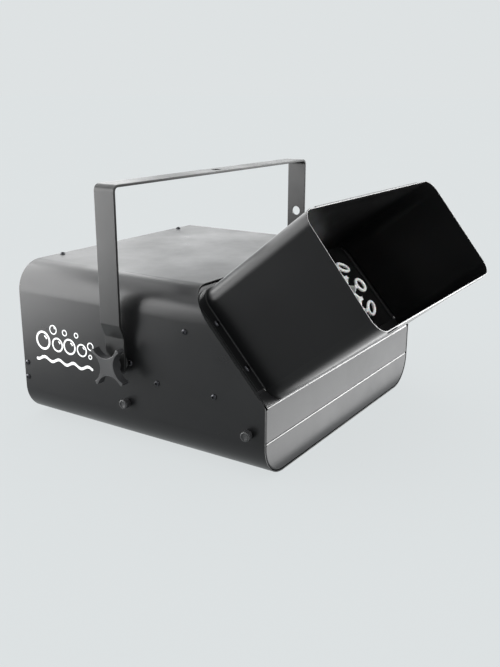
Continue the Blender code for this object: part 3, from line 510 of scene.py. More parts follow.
def make_front_panel():
    """Upper front: rounded back to the side returns, and rounded over to a flange up the slope."""
    half, bend, back, relief = HALF_W - INSET, 2.6 * MM, -150 * MM, 4 * MM
    steps = 6
    low, top = SEAM_Z + 2 * GAP, FRONT_TOP_Z - 0.6 * MM
    turn = math.pi / 2 - SLOPE
    high = top - bend * math.tan(turn / 2) - 1.2 * MM
    corner = arc((-half + bend, -HALF_D + bend), bend, 180, 270, steps)
    left = [(-half, back)] + corner + [(-half + relief, -HALF_D)]
    path = left + [(-x, y) for x, y in reversed(left)]
    bm = bmesh.new()
    rows = [[bm.verts.new((x, y, z)) for x, y in path] for z in (low, high)]
    strip(bm, *rows)
    middle = len(path) // 2
    above = rows[1][middle - 1:middle + 1]
    fold = [Vector((0, -HALF_D + bend * (1 - math.cos(turn * i / steps)),
                    high + bend * math.sin(turn * i / steps))) for i in range(1, steps + 1)]
    fold.append(fold[-1] + SLOPE_UP * 17 * MM)
    for point in fold:
        row = [bm.verts.new((v.co.x, point.y, point.z)) for v in above]
        bm.faces.new((above[0], above[1], row[1], row[0]))
        above = row
    shell = solid_sheet(open_mesh("front_face", bm, (0, -1, 0)))
    holes = [rod((side * HALF_W, THUMB_Y[1], THUMB_Z), (1, 0, 0), 3.2 * MM, 20 * MM) for side in (-1, 1)]
    place("front_face", soften(cut(shell, *holes), 0.3 * MM), HOUSING, "housing", ["front_panel"])


def make_duct():
    """Rounded duct folded out into a flange on the slope, and hemmed along the mouth's top and bottom."""
    corner_steps = 12
    outline = rounded_box(DUCT_HALF_W, DUCT_LOW, DUCT_H, DUCT_R, DUCT_R, corner_steps)
    tilt = SLOPE_OUT.dot(ACROSS_DUCT) / SLOPE_OUT.dot(OUT_OF_DUCT)
    flange_low, flange_high = 19 * MM, 145 * MM
    bm = bmesh.new()
    base, mouth = [], []
    for x, v in outline:
        side = CORNER + Vector((x, 0, 0)) + ACROSS_DUCT * v
        depth = GAP if v > flange_low else 1.1 * MM
        base.append(bm.verts.new(side - OUT_OF_DUCT * (depth / SLOPE_OUT.dot(OUT_OF_DUCT) + v * tilt)))
        mouth.append(bm.verts.new(side + OUT_OF_DUCT * DUCT_L))
    count = len(outline)
    for i in range(count):
        j = (i + 1) % count
        bm.faces.new((base[i], base[j], mouth[j], mouth[i]))
    corner_x, corner_s = DUCT_HALF_W - DUCT_R, DUCT_H - DUCT_R
    rim = {}
    for vert, (x, v) in zip(base, outline):
        if v < flange_low:
            continue
        turn = math.atan2(max(0, v - corner_s), max(0, abs(x) - corner_x))
        out_x = corner_x + (FLANGE_X - corner_x) * math.cos(turn) if abs(x) > corner_x else abs(x)
        out_s = corner_s + (flange_high - corner_s) * math.sin(turn) if v > corner_s else v
        rim[vert] = bm.verts.new(CORNER + Vector((math.copysign(out_x, x), 0, 0)) + SLOPE_UP * out_s
                                 - SLOPE_OUT * GAP)
    creases = []
    for i in range(count):
        a, b = base[i], base[(i + 1) % count]
        if a in rim and b in rim:
            bm.faces.new((b, a, rim[a], rim[b]))
            creases.append(bm.edges.get((a, b)))
    face_outwards(bm, ACROSS_DUCT)
    bmesh.ops.bevel(bm, geom=creases, offset=1.6 * MM, segments=3, profile=0.5, affect='EDGES')
    shell = solid_sheet(open_mesh("duct_shell", bm, ACROSS_DUCT))
    place("duct_shell", soften(shell, 0.3 * MM, 2, 50), DUCT_COAT_PAINTED_LIGHT, "housing", ["bubble_duct"])

    hem_r, depth = SHEET, 12 * MM
    section = arc((0, 0), hem_r, 90, -90, 8) + [(-depth, -hem_r), (-depth, hem_r)]
    hems = []
    for v, x_low, x_high in ((DUCT_H, -139 * MM, 124 * MM), (DUCT_LOW, -131 * MM, 138 * MM)):
        bm = bmesh.new()
        rows = []
        for x in (x_low, x_high):
            rows.append([bm.verts.new(CORNER + Vector((x, 0, 0)) + OUT_OF_DUCT * (DUCT_L - hem_r + along)
                                      + ACROSS_DUCT * (v + up)) for along, up in section])
        for i in range(len(section)):
            j = (i + 1) % len(section)
            bm.faces.new((rows[0][i], rows[0][j], rows[1][j], rows[1][i]))
        bm.faces.new(rows[0])
        bm.faces.new(list(reversed(rows[1])))
        hems.append(new_mesh("hem", bm))
    place("duct_hems", soften(merged("duct_hems", hems), 0.25 * MM, 2, 50), DUCT_COAT_PAINTED_LIGHT, "housing")


def drawer_outline(inset):
    half = HALF_W - INSET - inset
    low, high = INSET + inset, SEAM_Z - GAP - inset
    return rounded_box(half, low, high, BOTTOM_R - INSET - inset, 3.4 * MM - inset, 16)


def make_drawer():
    """Fluid drawer: a rounded front that folds back into a tub, with a low rear wall and two side tabs."""
    bend, steps = 2.6 * MM, 6
    back = own_box("fluid_drawer")[1].y
    bm = bmesh.new()
    loops = []
    for i in range(steps + 1):
        a = math.pi / 2 * i / steps
        y = -HALF_D + bend * (1 - math.sin(a))
        loops.append([bm.verts.new((x, y, z)) for x, z in drawer_outline(bend * (1 - math.cos(a)))])
    loops.reverse()
    count = len(loops[0])
    bm.faces.new(loops[0])
    for first, second in zip(loops, loops[1:]):
        for i in range(count):
            j = (i + 1) % count
            bm.faces.new((first[i], first[j], second[j], second[i]))
    # Behind the fold the top run is only a short flange, and the rest carries on as the tub.
    outline = drawer_outline(0)
    top_start, top_end = count // 2 - 1, count // 2
    flange = [bm.verts.new((outline[i][0], -HALF_D + bend + 9 * MM, outline[i][1]))
              for i in (top_start, top_end)]
    bm.faces.new((loops[-1][top_start], loops[-1][top_end], flange[1], flange[0]))
    tub_order = list(range(top_end, count)) + list(range(0, top_start + 1))
    rear = {i: bm.verts.new((outline[i][0], back, outline[i][1])) for i in tub_order}
    for a, b in zip(tub_order, tub_order[1:]):
        bm.faces.new((loops[-1][a], loops[-1][b], rear[b], rear[a]))
    low = [i for i in tub_order if outline[i][1] < 30 * MM]
    bm.faces.new([rear[i] for i in low])
    shell = solid_sheet(open_mesh("drawer_tub", bm, (0, 0, -1)))
    tabs = []
    for side in (-1, 1):
        outer = side * (HALF_W - INSET)
        tabs.append(block((min(outer, outer - side * SHEET), THUMB_Y[0] - 12 * MM, SEAM_Z - 3 * MM),
                          (max(outer, outer - side * SHEET), THUMB_Y[0] + 12 * MM, 60 * MM)))
    shell = soften(shell, 0.3 * MM, 2, 50)
    tabs = soften(merged("tabs", tabs), 0.3 * MM)
    place("drawer_tub", merged("drawer_tub", [shell, tabs]), HOUSING, "fluid_drawer", ["fluid_drawer"])


def fillet(points, radius, segments=6):
    """Round each inner corner of an open path of (x, z) points."""
    result = [points[0]]
    for before, here, after in zip(points, points[1:], points[2:]):
        p = Vector(here)
        u = (Vector(before) - p).normalized()
        w = (Vector(after) - p).normalized()
        angle = math.acos(max(-1, min(1, u.dot(w))))
        reach = radius / math.tan(angle / 2)
        centre = p + (u + w).normalized() * radius / math.sin(angle / 2)
        start, end = p + u * reach - centre, p + w * reach - centre
        sweep = start.angle_signed(end)
        for i in range(segments + 1):
            turned = Matrix.Rotation(-sweep * i / segments, 2) @ start
            result.append(tuple(centre + turned))
    result.append(points[-1])
    return result


def make_yoke():
    outer = YOKE_HALF_W - YOKE_T / 2
    inner = outer - YOKE_JOGGLE
    top = YOKE_TOP_Z - YOKE_T / 2
    low = PIVOT.z - YOKE_W / 2
    half = fillet([(-inner, low), (-inner, 131 * MM), (-outer, 146 * MM), (-outer, top), (0, top)], 6 * MM)
    path = half[:-1] + [(-x, z) for x, z in reversed(half[:-1])]
    bm = bmesh.new()
    rows = [[bm.verts.new((x, y, z)) for x, z in path]
            for y in (PIVOT.y - YOKE_W / 2, PIVOT.y + YOKE_W / 2)]
    strip(bm, *rows)
    ends = [row[j] for row in rows for j in (0, -1)]
    bmesh.ops.bevel(bm, geom=ends, offset=YOKE_W / 2 - 0.1 * MM, segments=14, affect='VERTICES',
                    offset_type='OFFSET', profile=0.5)
    bar = solid_sheet(open_mesh("yoke_bar", bm, (0, 0, 1)), YOKE_T, 0)
    holes = [rod(PIVOT, (1, 0, 0), 4.8 * MM, 430 * MM),
             rod((YOKE_HALF_W, PIVOT.y, 224.7 * MM), (1, 0, 0), 6.5 * MM, 20 * MM, 48),
             rod((0, PIVOT.y, YOKE_TOP_Z), (0, 0, 1), 6.5 * MM, 20 * MM, 48)]
    place("yoke_bar", soften(cut(bar, *holes), 0.5 * MM, 3), YOKE_COAT, "yoke", ["yoke"])


def make_rear_panel():
    low, high = own_box("rear_panel")
    outline = rounded_box(HALF_W - INSET, INSET, BODY_H - INSET, BOTTOM_R - INSET, TOP_R - INSET, 16)
    holes = [rounded_rectangle(INLET, 13.9 * MM, 10.1 * MM, 1.5 * MM), circle(FUSE, 6.6 * MM),
             rounded_rectangle(SWITCH, 9.9 * MM, 6.8 * MM, 0.8 * MM), circle(DATA_IN, 12.1 * MM),
             circle(DATA_OUT, 12.1 * MM), rounded_rectangle(DISPLAY, 25 * MM, 9 * MM, 1 * MM)]
    holes += [circle((x, BUTTON_Z), 3.8 * MM, 24) for x in BUTTON_X]
    for side in (-1, 1):
        for row in range(7):
            slot_z = FAN_CENTRE.z + (row - 3) * 11 * MM
            holes.append(rounded_rectangle((side * FAN_CENTRE.x, slot_z), 36 * MM, 2.5 * MM, 2.4 * MM))
    panel = plate("rear_plate", [outline] + holes, high.y - low.y, plane_at_y((low.y + high.y) / 2))
    place("rear_plate", soften(panel, 0.3 * MM), HOUSING, "housing", ["rear_panel"])


# ---- knobs, screws, feet -----------------------------------------------------------------------------
def star_outline(steps=28):
    """Four arms with blunt tips and concave flanks, each flank an arc between two tips."""
    tip_x, tip_y, lead = KNOB_TIP_R - 1 * MM, 2.8 * MM, math.radians(38)
    middle = (tip_x + tip_y) / math.sqrt(2)
    chord = tip_x ** 2 + tip_y ** 2
    reach = (chord - KNOB_WAIST_R ** 2) / (2 * (middle - KNOB_WAIST_R))
    flank_r = reach - KNOB_WAIST_R
    centre = (reach / math.sqrt(2), reach / math.sqrt(2))
    start = math.degrees(math.atan2(tip_y - centre[1], tip_x - centre[0])) % 360
    quarter = arc((KNOB_TIP_R - 2 * MM, 0), 2 * MM, -60, 60, 6)
    quarter += arc(centre, flank_r, start, 450 - start, steps)
    points = []
    for i in range(4):
        c, s = math.cos(lead + i * math.pi / 2), math.sin(lead + i * math.pi / 2)
        points += [(x * c - y * s, x * s + y * c) for x, y in quarter]
    return points


def make_star_knob(side, name):
    """Flat four-armed star with softly rounded edges, on a short boss, with a threaded stud."""
    arm_face = YOKE_HALF_W - YOKE_JOGGLE
    start = side * (arm_face + GAP)
    low, high = 4 * MM, 14.5 * MM
    centre = Vector((start, PIVOT.y, PIVOT.z))
    star = plate("star", [star_outline()], high - low,
                 plane_at_x(start + side * (low + high) / 2) @ Matrix.Translation((PIVOT.y, PIVOT.z, 0)))
    boss = lathe("boss", [(0, 8 * MM), (8.6 * MM, 8 * MM), (9 * MM, 3 * MM), (9 * MM, 0.5 * MM),
                          (8.5 * MM, 0), (0, 0)], centre, (side, 0, 0), 48)
    place(f"star_grip_{name}", merged("star_grip", [soften(star, 1.0 * MM, 4, 40), smooth(boss)]),
          KNOB_PLASTIC, f"star_knob_{name}", [f"star_knob_{name}"])
    thread = [(0, 4 * MM), (4 * MM, 4 * MM), (4 * MM, 0)]
    pitch, turns = 1.25 * MM, 19
    for i in range(turns):
        thread += [(4 * MM, -(i + 0.15) * pitch), (3.4 * MM, -(i + 0.5) * pitch),
                   (4 * MM, -(i + 0.85) * pitch)]
    thread += [(3.4 * MM, -25.5 * MM), (0, -26 * MM)]
    place(f"knob_stud_{name}", smooth(lathe("stud", thread, centre, (side, 0, 0), 32)), ZINC,
          f"star_knob_{name}")


def make_thumb_screw(side, side_name, y, place_name):
    node = f"thumb_screw_{side_name}_{place_name}"
    low, high = own_box(node)
    tip = min(abs(low.x), abs(high.x)) - HALF_W
    origin = Vector((side * HALF_W, y, THUMB_Z))
    ridges, segments = 20, 120
    profile = [(0, 9.1), (2.9, 9.1), (3.3, 9.3), (3.5, 9.9), (4.3, 10), (5.0, 9.8), (5.5, 9.2), (5.6, 8.4),
               (5.6, 3.0), (5.3, 2.5), (4.1, 2.3), (4.0, 0.3), (2.6, 0.3), (2.5, tip / MM)]
    rows = [(r * MM, h * MM) for r, h in profile] + [(0, tip)]
    mesh = lathe("grip", rows, (0, 0, 0), (0, 0, 1), segments)
    for vert in mesh.vertices:
        radius = math.hypot(vert.co.x, vert.co.y)
        if radius > 4.9 * MM:
            angle = math.atan2(vert.co.y, vert.co.x)
            depth = 0.35 * MM * max(0, math.cos(ridges * angle)) ** 2
            vert.co.x *= (radius - depth) / radius
            vert.co.y *= (radius - depth) / radius
    mesh.transform(Matrix.Translation(origin) @ turn_to((side, 0, 0)))
    place(f"knurled_{side_name}_{place_name}", smooth(mesh, 40), KNOB_PLASTIC, node, [node])


def screw_head(diameter, height):
    """Pan head with a cross recess, its underside at the origin and its axis along +Z."""
    radius = diameter / 2
    profile = [(0, height), (radius * 0.45, height * 0.98), (radius * 0.75, height * 0.82),
               (radius * 0.93, height * 0.55), (radius, height * 0.2), (radius, -0.4 * MM), (0, -0.4 * MM)]
    head = lathe("head", profile, segments=32)
    wing, depth = radius * 0.55, height * 0.6
    cross = [block((-wing, -0.09 * diameter, height - depth), (wing, 0.09 * diameter, height + 1 * MM)),
             block((-0.09 * diameter, -wing, height - depth), (0.09 * diameter, wing, height + 1 * MM))]
    return smooth(cut(head, *cross), 30)


def screws(name, places, axis, diameter, height, mat, body="housing", replaced=()):
    head = screw_head(diameter, height)
    copies = [moved(head, Matrix.Translation(point) @ turn_to(axis) @ Matrix.Rotation(0.7 + 1.9 * i, 4, 'Z'))
              for i, point in enumerate(places)]
    place(name, merged(name, copies), mat, body, replaced)


def make_screws():
    sides = [(-75.7, 148.8), (-35.7, 82.5), (-113.3, 82.9), (2.0, 99.5), (171.5, 69), (172.5, 50)]
    for side, name in ((-1, "left"), (1, "right")):
        points = [Vector((side * HALF_W, y * MM, z * MM)) for y, z in sides]
        screws(f"side_screws_{name}", points, (side, 0, 0), 6.6 * MM, 2.0 * MM, BLACK_SCREW)
    tops = [Vector((x * MM, 171 * MM, BODY_H)) for x in (-120, 120)]
    screws("top_screws", tops, (0, 0, 1), 6.6 * MM, 2.2 * MM, BLACK_SCREW)
    nodes = [f"duct_screw_{n}" for n in ("left_low", "left_high", "right_low", "right_high")]
    seats = []
    for node in nodes:
        centre = own_centre(node)
        seats.append(centre + SLOPE_OUT * ((CORNER - centre).dot(SLOPE_OUT) + 0.1 * MM - GAP))
    screws("duct_screws", seats, SLOPE_OUT, 7.6 * MM, 2.2 * MM, BLACK_SCREW, replaced=nodes)
    flanges = []
    for x, z in (DATA_IN, DATA_OUT):
        flanges += [Vector((x + dx, REAR_OUT + 2.2 * MM, z + dz)) for dx, dz in
                    ((-9.5 * MM, 12 * MM), (9.5 * MM, -12 * MM))]
    screws("socket_screws", flanges, (0, 1, 0), 5.2 * MM, 1.5 * MM, BLACK_SCREW)
    rear = [Vector((x * MM, REAR_OUT, z * MM)) for x in (-176, 176) for z in (60, 140)]
    rear += [Vector((x * MM, REAR_OUT, 14 * MM)) for x in (-60, 60)]
    screws("rear_screws", rear, (0, 1, 0), 6.6 * MM, 2.0 * MM, BLACK_SCREW)


def make_feet():
    for i in range(1, 5):
        node = f"rubber_foot_{i}"
        low, high = own_box(node)
        centre = own_centre(node)
        height = high.z - low.z
        profile = [(0, high.z), (9 * MM, high.z), (9.6 * MM, high.z - height * 0.5),
                   (9.8 * MM, low.z + 0.6 * MM), (9.4 * MM, low.z + 0.1 * MM), (8.6 * MM, low.z),
                   (4.2 * MM, low.z), (3.8 * MM, low.z + 0.8 * MM), (0, low.z + 0.8 * MM)]
        place(f"foot_pad_{i}", smooth(lathe("pad", profile, (centre.x, centre.y, 0), (0, 0, 1), 48)),
              SOFT_RUBBER, "housing", [node])


# ---- wheels and fans ---------------------------------------------------------------------------------
RINGS = 16
FIRST_RING = math.radians(25.6)
RING_PITCH_R = 84.6 * MM
RIM_LOW_R = 79 * MM
RIM_HIGH_R = 85.6 * MM
RING_OUTER_R = 10.7 * MM
RING_SECTION_R = 2.2 * MM
ROW_OFFSET = 15.5 * MM


def scalloped_rim(steps=12):
    """Rim with one lobe for each ring, the lobes of both rows by turns."""
    lobes = 2 * RINGS
    points = []
    for i in range(lobes * steps):
        turn = math.tau * i / (lobes * steps)
        angle = math.pi / 2 + FIRST_RING + turn
        radius = (RIM_HIGH_R + RIM_LOW_R + (RIM_HIGH_R - RIM_LOW_R) * math.cos(lobes * turn)) / 2
        points.append((radius * math.cos(angle), radius * math.sin(angle)))
    return points


def ribbed_ring():
    """One ring with the fine ribs that hold the fluid, its axis along +Z."""
    major, minor, around, section = RING_OUTER_R - RING_SECTION_R, RING_SECTION_R, 60, 10
    bm = bmesh.new()
    loops = []
    for i in range(around):
        a = math.tau * i / around
        out = Vector((math.cos(a), math.sin(a), 0))
        depth = minor * (1.0 if i % 3 else 0.86)
        loops.append([bm.verts.new(out * (major + depth * math.cos(b)) + Vector((0, 0, depth * math.sin(b))))
                      for b in (math.tau * k / section for k in range(section))])
    for i in range(around):
        here, there = loops[i], loops[(i + 1) % around]
        for k in range(section):
            m = (k + 1) % section
            bm.faces.new((here[k], there[k], there[m], here[m]))
    return smooth(new_mesh("ring", bm), 60)


def make_wheel(side, name, ring):
    centre = Vector((own_centre(f"bubble_wheel_{name}").x, WHEEL_AXIS.y, WHEEL_AXIS.z))
    matrix = plane_at_x(centre.x) @ Matrix.Translation((centre.y, centre.z, 0))
    holes = [circle((50 * MM * math.cos(a), 50 * MM * math.sin(a)), 16 * MM, 40)
             for a in (math.tau * i / 8 for i in range(8))]
    disc = soften(plate("disc", [scalloped_rim(), circle((0, 0), 8 * MM, 40)] + holes, 2.4 * MM, matrix),
                  0.5 * MM, 3)
    hub = smooth(lathe("hub", [(4.3 * MM, 12 * MM), (10.6 * MM, 12 * MM), (11.4 * MM, 11.4 * MM),
                               (12.2 * MM, 1 * MM), (12.2 * MM, -1 * MM), (11.4 * MM, -11.4 * MM),
                               (10.6 * MM, -12 * MM), (4.3 * MM, -12 * MM)], centre, (1, 0, 0), 48))
    pieces = [disc, hub]
    reach = ROW_OFFSET - RING_OUTER_R + 1.2 * MM
    stalk = soften(block((-0.8 * MM, -2.5 * MM, -1.8 * MM), (reach, 2.5 * MM, 1.8 * MM)), 0.8 * MM, 3)
    for row, phase in ((side, 0.0), (-side, 0.5)):
        for i in range(RINGS):
            angle = FIRST_RING + (i + phase) * math.tau / RINGS
            spoke = Vector((0, -math.sin(angle), math.cos(angle)))
            at_rim = Matrix.Translation(centre + spoke * RING_PITCH_R) @ turn_to(spoke)
            outwards = Matrix.Identity(4) if row > 0 else Matrix.Rotation(math.pi, 4, 'Z')
            pieces.append(moved(stalk, at_rim @ outwards))
            pieces.append(moved(ring, at_rim @ Matrix.Translation((row * ROW_OFFSET, 0, 0))))
    place(f"ring_wheel_{name}", merged("ring_wheel", pieces), WHITE, "wheels", [f"bubble_wheel_{name}"])


FAN_CENTRE = Vector((own_centre("fan_frame_right").x, own_centre("fan_frame_right").y,
                     own_centre("fan_frame_right").z))


def make_fan(side, name):
    low, high = own_box(f"fan_frame_{name}")
    centre = (low + high) / 2
    half, depth, ply = (high.x - low.x) / 2, high.y - low.y, 4 * MM
    square = rounded_rectangle((centre.x, centre.z), half, half, 5 * MM)
    bore = circle((centre.x, centre.z), FAN_BORE_R, 96)
    bolts = [circle((centre.x + sx * 41.2 * MM, centre.z + sz * 41.2 * MM), 2.2 * MM, 20)
             for sx in (-1, 1) for sz in (-1, 1)]
    frames = [soften(plate("flange", [square, bore] + bolts, ply, plane_at_y(y)), 0.5 * MM)
              for y in (low.y + ply / 2, high.y - ply / 2)]
    wall = plate("wall", [circle((centre.x, centre.z), half - 0.8 * MM, 96), bore], depth - ply,
                 plane_at_y(centre.y))
    back = high.y - 1.6 * MM
    hub = smooth(lathe("hub", [(0, 1.5 * MM), (17 * MM, 1.5 * MM), (18 * MM, 0.6 * MM), (18 * MM, -1.5 * MM),
                               (0, -1.5 * MM)], (centre.x, back, centre.z), (0, 1, 0), 64))
    struts = []
    for i in range(4):
        strut = block((16 * MM, -1.3 * MM, -2 * MM), (FAN_BORE_R + 0.6 * MM, 1.3 * MM, 2 * MM))
        strut.transform(Matrix.Translation((centre.x, back, centre.z))
                        @ Matrix.Rotation(math.pi / 2 * (i + 0.5), 4, 'Y'))
        struts.append(soften(strut, 0.5 * MM))
    place(f"fan_housing_{name}", merged("fan_housing", frames + [smooth(wall), hub] + struts), FAN_PLASTIC,
          "housing", [f"fan_frame_{name}"])

    r_low, r_high = own_box(f"fan_rotor_{name}")
    axle = Vector((centre.x, (r_low.y + r_high.y) / 2, centre.z))
    rotor = [smooth(lathe("cup", [(0, -8.5 * MM), (15 * MM, -8.5 * MM), (16.6 * MM, -7.6 * MM),
                                  (17 * MM, -6 * MM), (17 * MM, 8.5 * MM), (0, 8.5 * MM)], axle, (0, 1, 0), 64))]
    blades, spans, chords = 7, 8, 6
    for i in range(blades):
        bm = bmesh.new()
        rows = []
        for s in range(spans + 1):
            radius = 16.4 * MM + (41 - 16.4) * MM * s / spans
            pitch = math.radians(52 - 22 * s / spans) * side
            row = []
            for c in range(chords + 1):
                t = c / chords - 0.5
                chord = (16 + 5 * s / spans) * MM
                camber = 1.6 * MM * (1 - 4 * t * t)
                along, up = chord * t, camber
                around = (along * math.cos(pitch) - up * math.sin(pitch)) / radius + 0.25 * s / spans
                height = along * math.sin(pitch) + up * math.cos(pitch)
                row.append(bm.verts.new((radius * math.cos(around), height, radius * math.sin(around))))
            rows.append(row)
        for first, second in zip(rows, rows[1:]):
            strip(bm, first, second)
        blade = solid_sheet(open_mesh("blade", bm, (0, 1, 0)), 1.1 * MM, 0)
        blade = soften(blade, 0.3 * MM, 2, 50)
        blade.transform(Matrix.Translation(axle) @ Matrix.Rotation(math.tau * i / blades, 4, 'Y'))
        rotor.append(blade)
    place(f"fan_blades_{name}", merged("fan_blades", rotor), FAN_PLASTIC, f"fan_rotor_{name}",
          [f"fan_rotor_{name}"])


# ---- rear controls -----------------------------------------------------------------------------------
INLET = (130 * MM, 48 * MM)
FUSE = (94 * MM, 48 * MM)
SWITCH = (56 * MM, 48 * MM)
DATA_IN = (-14 * MM, 48 * MM)
DATA_OUT = (18 * MM, 48 * MM)
DISPLAY = (-105 * MM, 58 * MM)
BUTTON_Z = 34 * MM
BUTTON_X = [(-126 + 14 * i) * MM for i in range(4)]


def outwards(loops, start, end, name="plate"):
    """Plate on the rear panel, from start to end outside its face."""
    return plate(name, loops, end - start, plane_at_y(REAR_OUT + (start + end) / 2))


def make_inlet():
    x, z = INLET
    lead = 3.5 * MM
    w, h = 12.1 * MM, 8.1 * MM
    cavity = [(x - w, z - h), (x + w, z - h), (x + w, z + h - lead), (x + w - lead, z + h),
              (x - w + lead, z + h), (x - w, z + h - lead)]
    rim = rounded_rectangle(INLET, 15.5 * MM, 12 * MM, 2.5 * MM)
    flange = soften(outwards([rim, cavity], GAP, 2.6 * MM), 0.4 * MM)
    body = soften(outwards([rounded_rectangle(INLET, 13.6 * MM, 9.8 * MM, 1.5 * MM), cavity],
                           -15 * MM, 1 * MM), 0.3 * MM)
    floor = outwards([rounded_rectangle(INLET, 13.6 * MM, 9.8 * MM, 1.5 * MM)], -19.7 * MM, -15 * MM)
    place("inlet_housing", merged("inlet_housing", [flange, body, smooth(floor)]), BLACK_PLASTIC, "housing",
          ["power_inlet"])
    pins = [soften(block((x + dx - 1 * MM, REAR_OUT - 15.5 * MM, z + dz - 2 * MM),
                         (x + dx + 1 * MM, REAR_OUT - 0.5 * MM, z + dz + 2 * MM)), 0.4 * MM)
            for dx, dz in ((-7 * MM, -1.5 * MM), (0, 2 * MM), (7 * MM, -1.5 * MM))]
    place("inlet_pins", merged("inlet_pins", pins), ZINC, "housing")


def make_fuse():
    x, z = FUSE
    reach = own_box("fuse_holder")[1].y - REAR_OUT
    body = lathe("holder", [(0, 2.4 * MM), (8.6 * MM, 2.4 * MM), (9 * MM, 2 * MM), (9 * MM, GAP),
                            (6.2 * MM, GAP), (6.2 * MM, -24 * MM), (0, -24 * MM)],
                 (x, REAR_OUT, z), (0, 1, 0), 48)
    cap = lathe("cap", [(0, reach), (5.6 * MM, reach), (6.4 * MM, reach - 0.7 * MM), (6.8 * MM, 2 * MM),
                        (0, 2 * MM)], (0, 0, 0), (0, 0, 1), 96)
    for vert in cap.vertices:
        radius = math.hypot(vert.co.x, vert.co.y)
        if radius > 6 * MM:
            factor = 1 - 0.05 * max(0, math.cos(24 * math.atan2(vert.co.y, vert.co.x)))
            vert.co.x *= factor
            vert.co.y *= factor
    cap = cut(cap, block((-5 * MM, -0.7 * MM, reach - 1.2 * MM), (5 * MM, 0.7 * MM, reach + 1 * MM)))
    cap.transform(Matrix.Translation((x, REAR_OUT, z)) @ turn_to((0, 1, 0)))
    place("fuse_cap", merged("fuse_cap", [smooth(body), smooth(cap)]), BLACK_PLASTIC, "housing",
          ["fuse_holder"])


def make_switch():
    x, z = SWITCH
    opening = rounded_rectangle(SWITCH, 8.6 * MM, 5.6 * MM, 0.6 * MM)
    bezel = soften(outwards([rounded_rectangle(SWITCH, 11 * MM, 8 * MM, 1.5 * MM), opening], GAP, 2.2 * MM),
                   0.4 * MM)
    body = smooth(outwards([rounded_rectangle(SWITCH, 9.6 * MM, 6.5 * MM, 0.6 * MM), opening],
                           -9 * MM, 1 * MM))
    floor = smooth(outwards([rounded_rectangle(SWITCH, 9.6 * MM, 6.5 * MM, 0.6 * MM)], -15.7 * MM, -9 * MM))
    place("switch_bezel", merged("switch_bezel", [bezel, body, floor]), BLACK_PLASTIC, "housing",
          ["power_switch"])
    low, high = own_box("power_rocker")
    at_rest = Matrix.Translation((x, REAR_OUT - 1.5 * MM, z)) @ Matrix.Rotation(math.radians(7), 4, 'Z')
    half, crown, dish = 8 * MM, 3.4 * MM, 1.2 * MM
    face = [(half * t, crown + dish * t * t) for t in (i / 8 for i in range(-8, 9))]
    outline = face + [(half, -1 * MM), (3 * MM, -4 * MM), (-3 * MM, -4 * MM), (-half, -1 * MM)]
    rocker = plate("rocker", [outline], high.z - low.z, at_rest)
    place("rocker_cap", soften(rocker, 0.5 * MM, 3, 40), BLACK_PLASTIC, "power_rocker", ["power_rocker"])
    bar = [rounded_rectangle((0, 0), 0.35 * MM, 2 * MM, 0.2 * MM, 3)]
    ring = [circle((0, 0), 1.9 * MM), circle((0, 0), 1.3 * MM)]
    marks = []
    for loops, t in ((bar, -0.65), (ring, 0.65)):
        lean = Matrix.Rotation(math.atan(2 * dish * t / half), 4, 'Z')
        spot = Matrix.Translation((half * t, crown + dish * t * t + 0.05 * MM, 0))
        marks.append(plate("mark", loops, 0.16 * MM, at_rest @ spot @ lean @ plane_at_y(0)))
    place("rocker_marks", merged("rocker_marks", marks), INK, "power_rocker")


def make_socket(name, centre, female):
    x, z = centre
    face = rounded_rectangle(centre, 13 * MM, 15.5 * MM, 3 * MM)
    well = circle(centre, 9.4 * MM, 64)
    flange = soften(outwards([face, well], GAP, 2.2 * MM), 0.5 * MM)
    barrel = smooth(outwards([circle(centre, 11.7 * MM, 64), well], -16 * MM, 1 * MM))
    floor = smooth(outwards([circle(centre, 11.7 * MM, 64)], -21 * MM, -16 * MM))
    place(f"{name}_shell", merged(name, [flange, barrel, floor]), BLACK_NICKEL, "housing",
          [f"data_{name}_socket"])
    spread = 4.6 * MM
    contacts = [(x + spread * math.cos(a), z + spread * math.sin(a))
                for a in (math.radians(90 + 120 * i + 60) for i in range(3))]
    if female:
        insert = soften(outwards([circle(centre, 8.4 * MM, 64)] + [circle(c, 1.5 * MM, 20) for c in contacts],
                                 -16 * MM, 1.4 * MM), 0.3 * MM)
        place(f"{name}_insert", insert, BLACK_PLASTIC, "housing")
        latch = soften(block((x - 3 * MM, REAR_OUT + 2 * MM, z + 9.8 * MM),
                             (x + 3 * MM, REAR_OUT + 4.4 * MM, z + 13.6 * MM)), 0.6 * MM)
        place(f"{name}_latch", latch, ZINC, "housing")
    else:
        insert = smooth(outwards([circle(centre, 9 * MM, 64)], -16 * MM, -13 * MM))
        place(f"{name}_insert", insert, BLACK_PLASTIC, "housing")
        pins = [smooth(lathe("pin", [(0, 10 * MM), (0.7 * MM, 9.8 * MM), (1.2 * MM, 9 * MM), (1.2 * MM, 0),
                                     (0, 0)], (cx, REAR_OUT - 13.5 * MM, cz), (0, 1, 0), 24))
                for cx, cz in contacts]
        place(f"{name}_pins", merged("pins", pins), ZINC, "housing")


def make_display():
    node = "display_window"
    low, high = own_box(node)
    pane = soften(block(low, high), 0.4 * MM)
    place("display_pane", pane, WINDOW, "housing", [node])
    for name, x in zip(("menu", "up", "down", "enter"), BUTTON_X):
        node = f"button_{name}"
        low, high = own_box(node)
        top = high.y - REAR_OUT
        base = low.y - REAR_OUT
        profile = [(0, top - 0.25 * MM), (1.8 * MM, top - 0.18 * MM), (2.7 * MM, top), (3.1 * MM, top - 0.1 * MM),
                   (3.5 * MM, top - 0.6 * MM), (3.5 * MM, base + 0.9 * MM), (4.6 * MM, base + 0.9 * MM),
                   (4.6 * MM, base), (0, base)]
        place(f"{name}_key", smooth(lathe("key", profile, (x, REAR_OUT, BUTTON_Z), (0, 1, 0), 40)),
              BLACK_PLASTIC, node, [node])


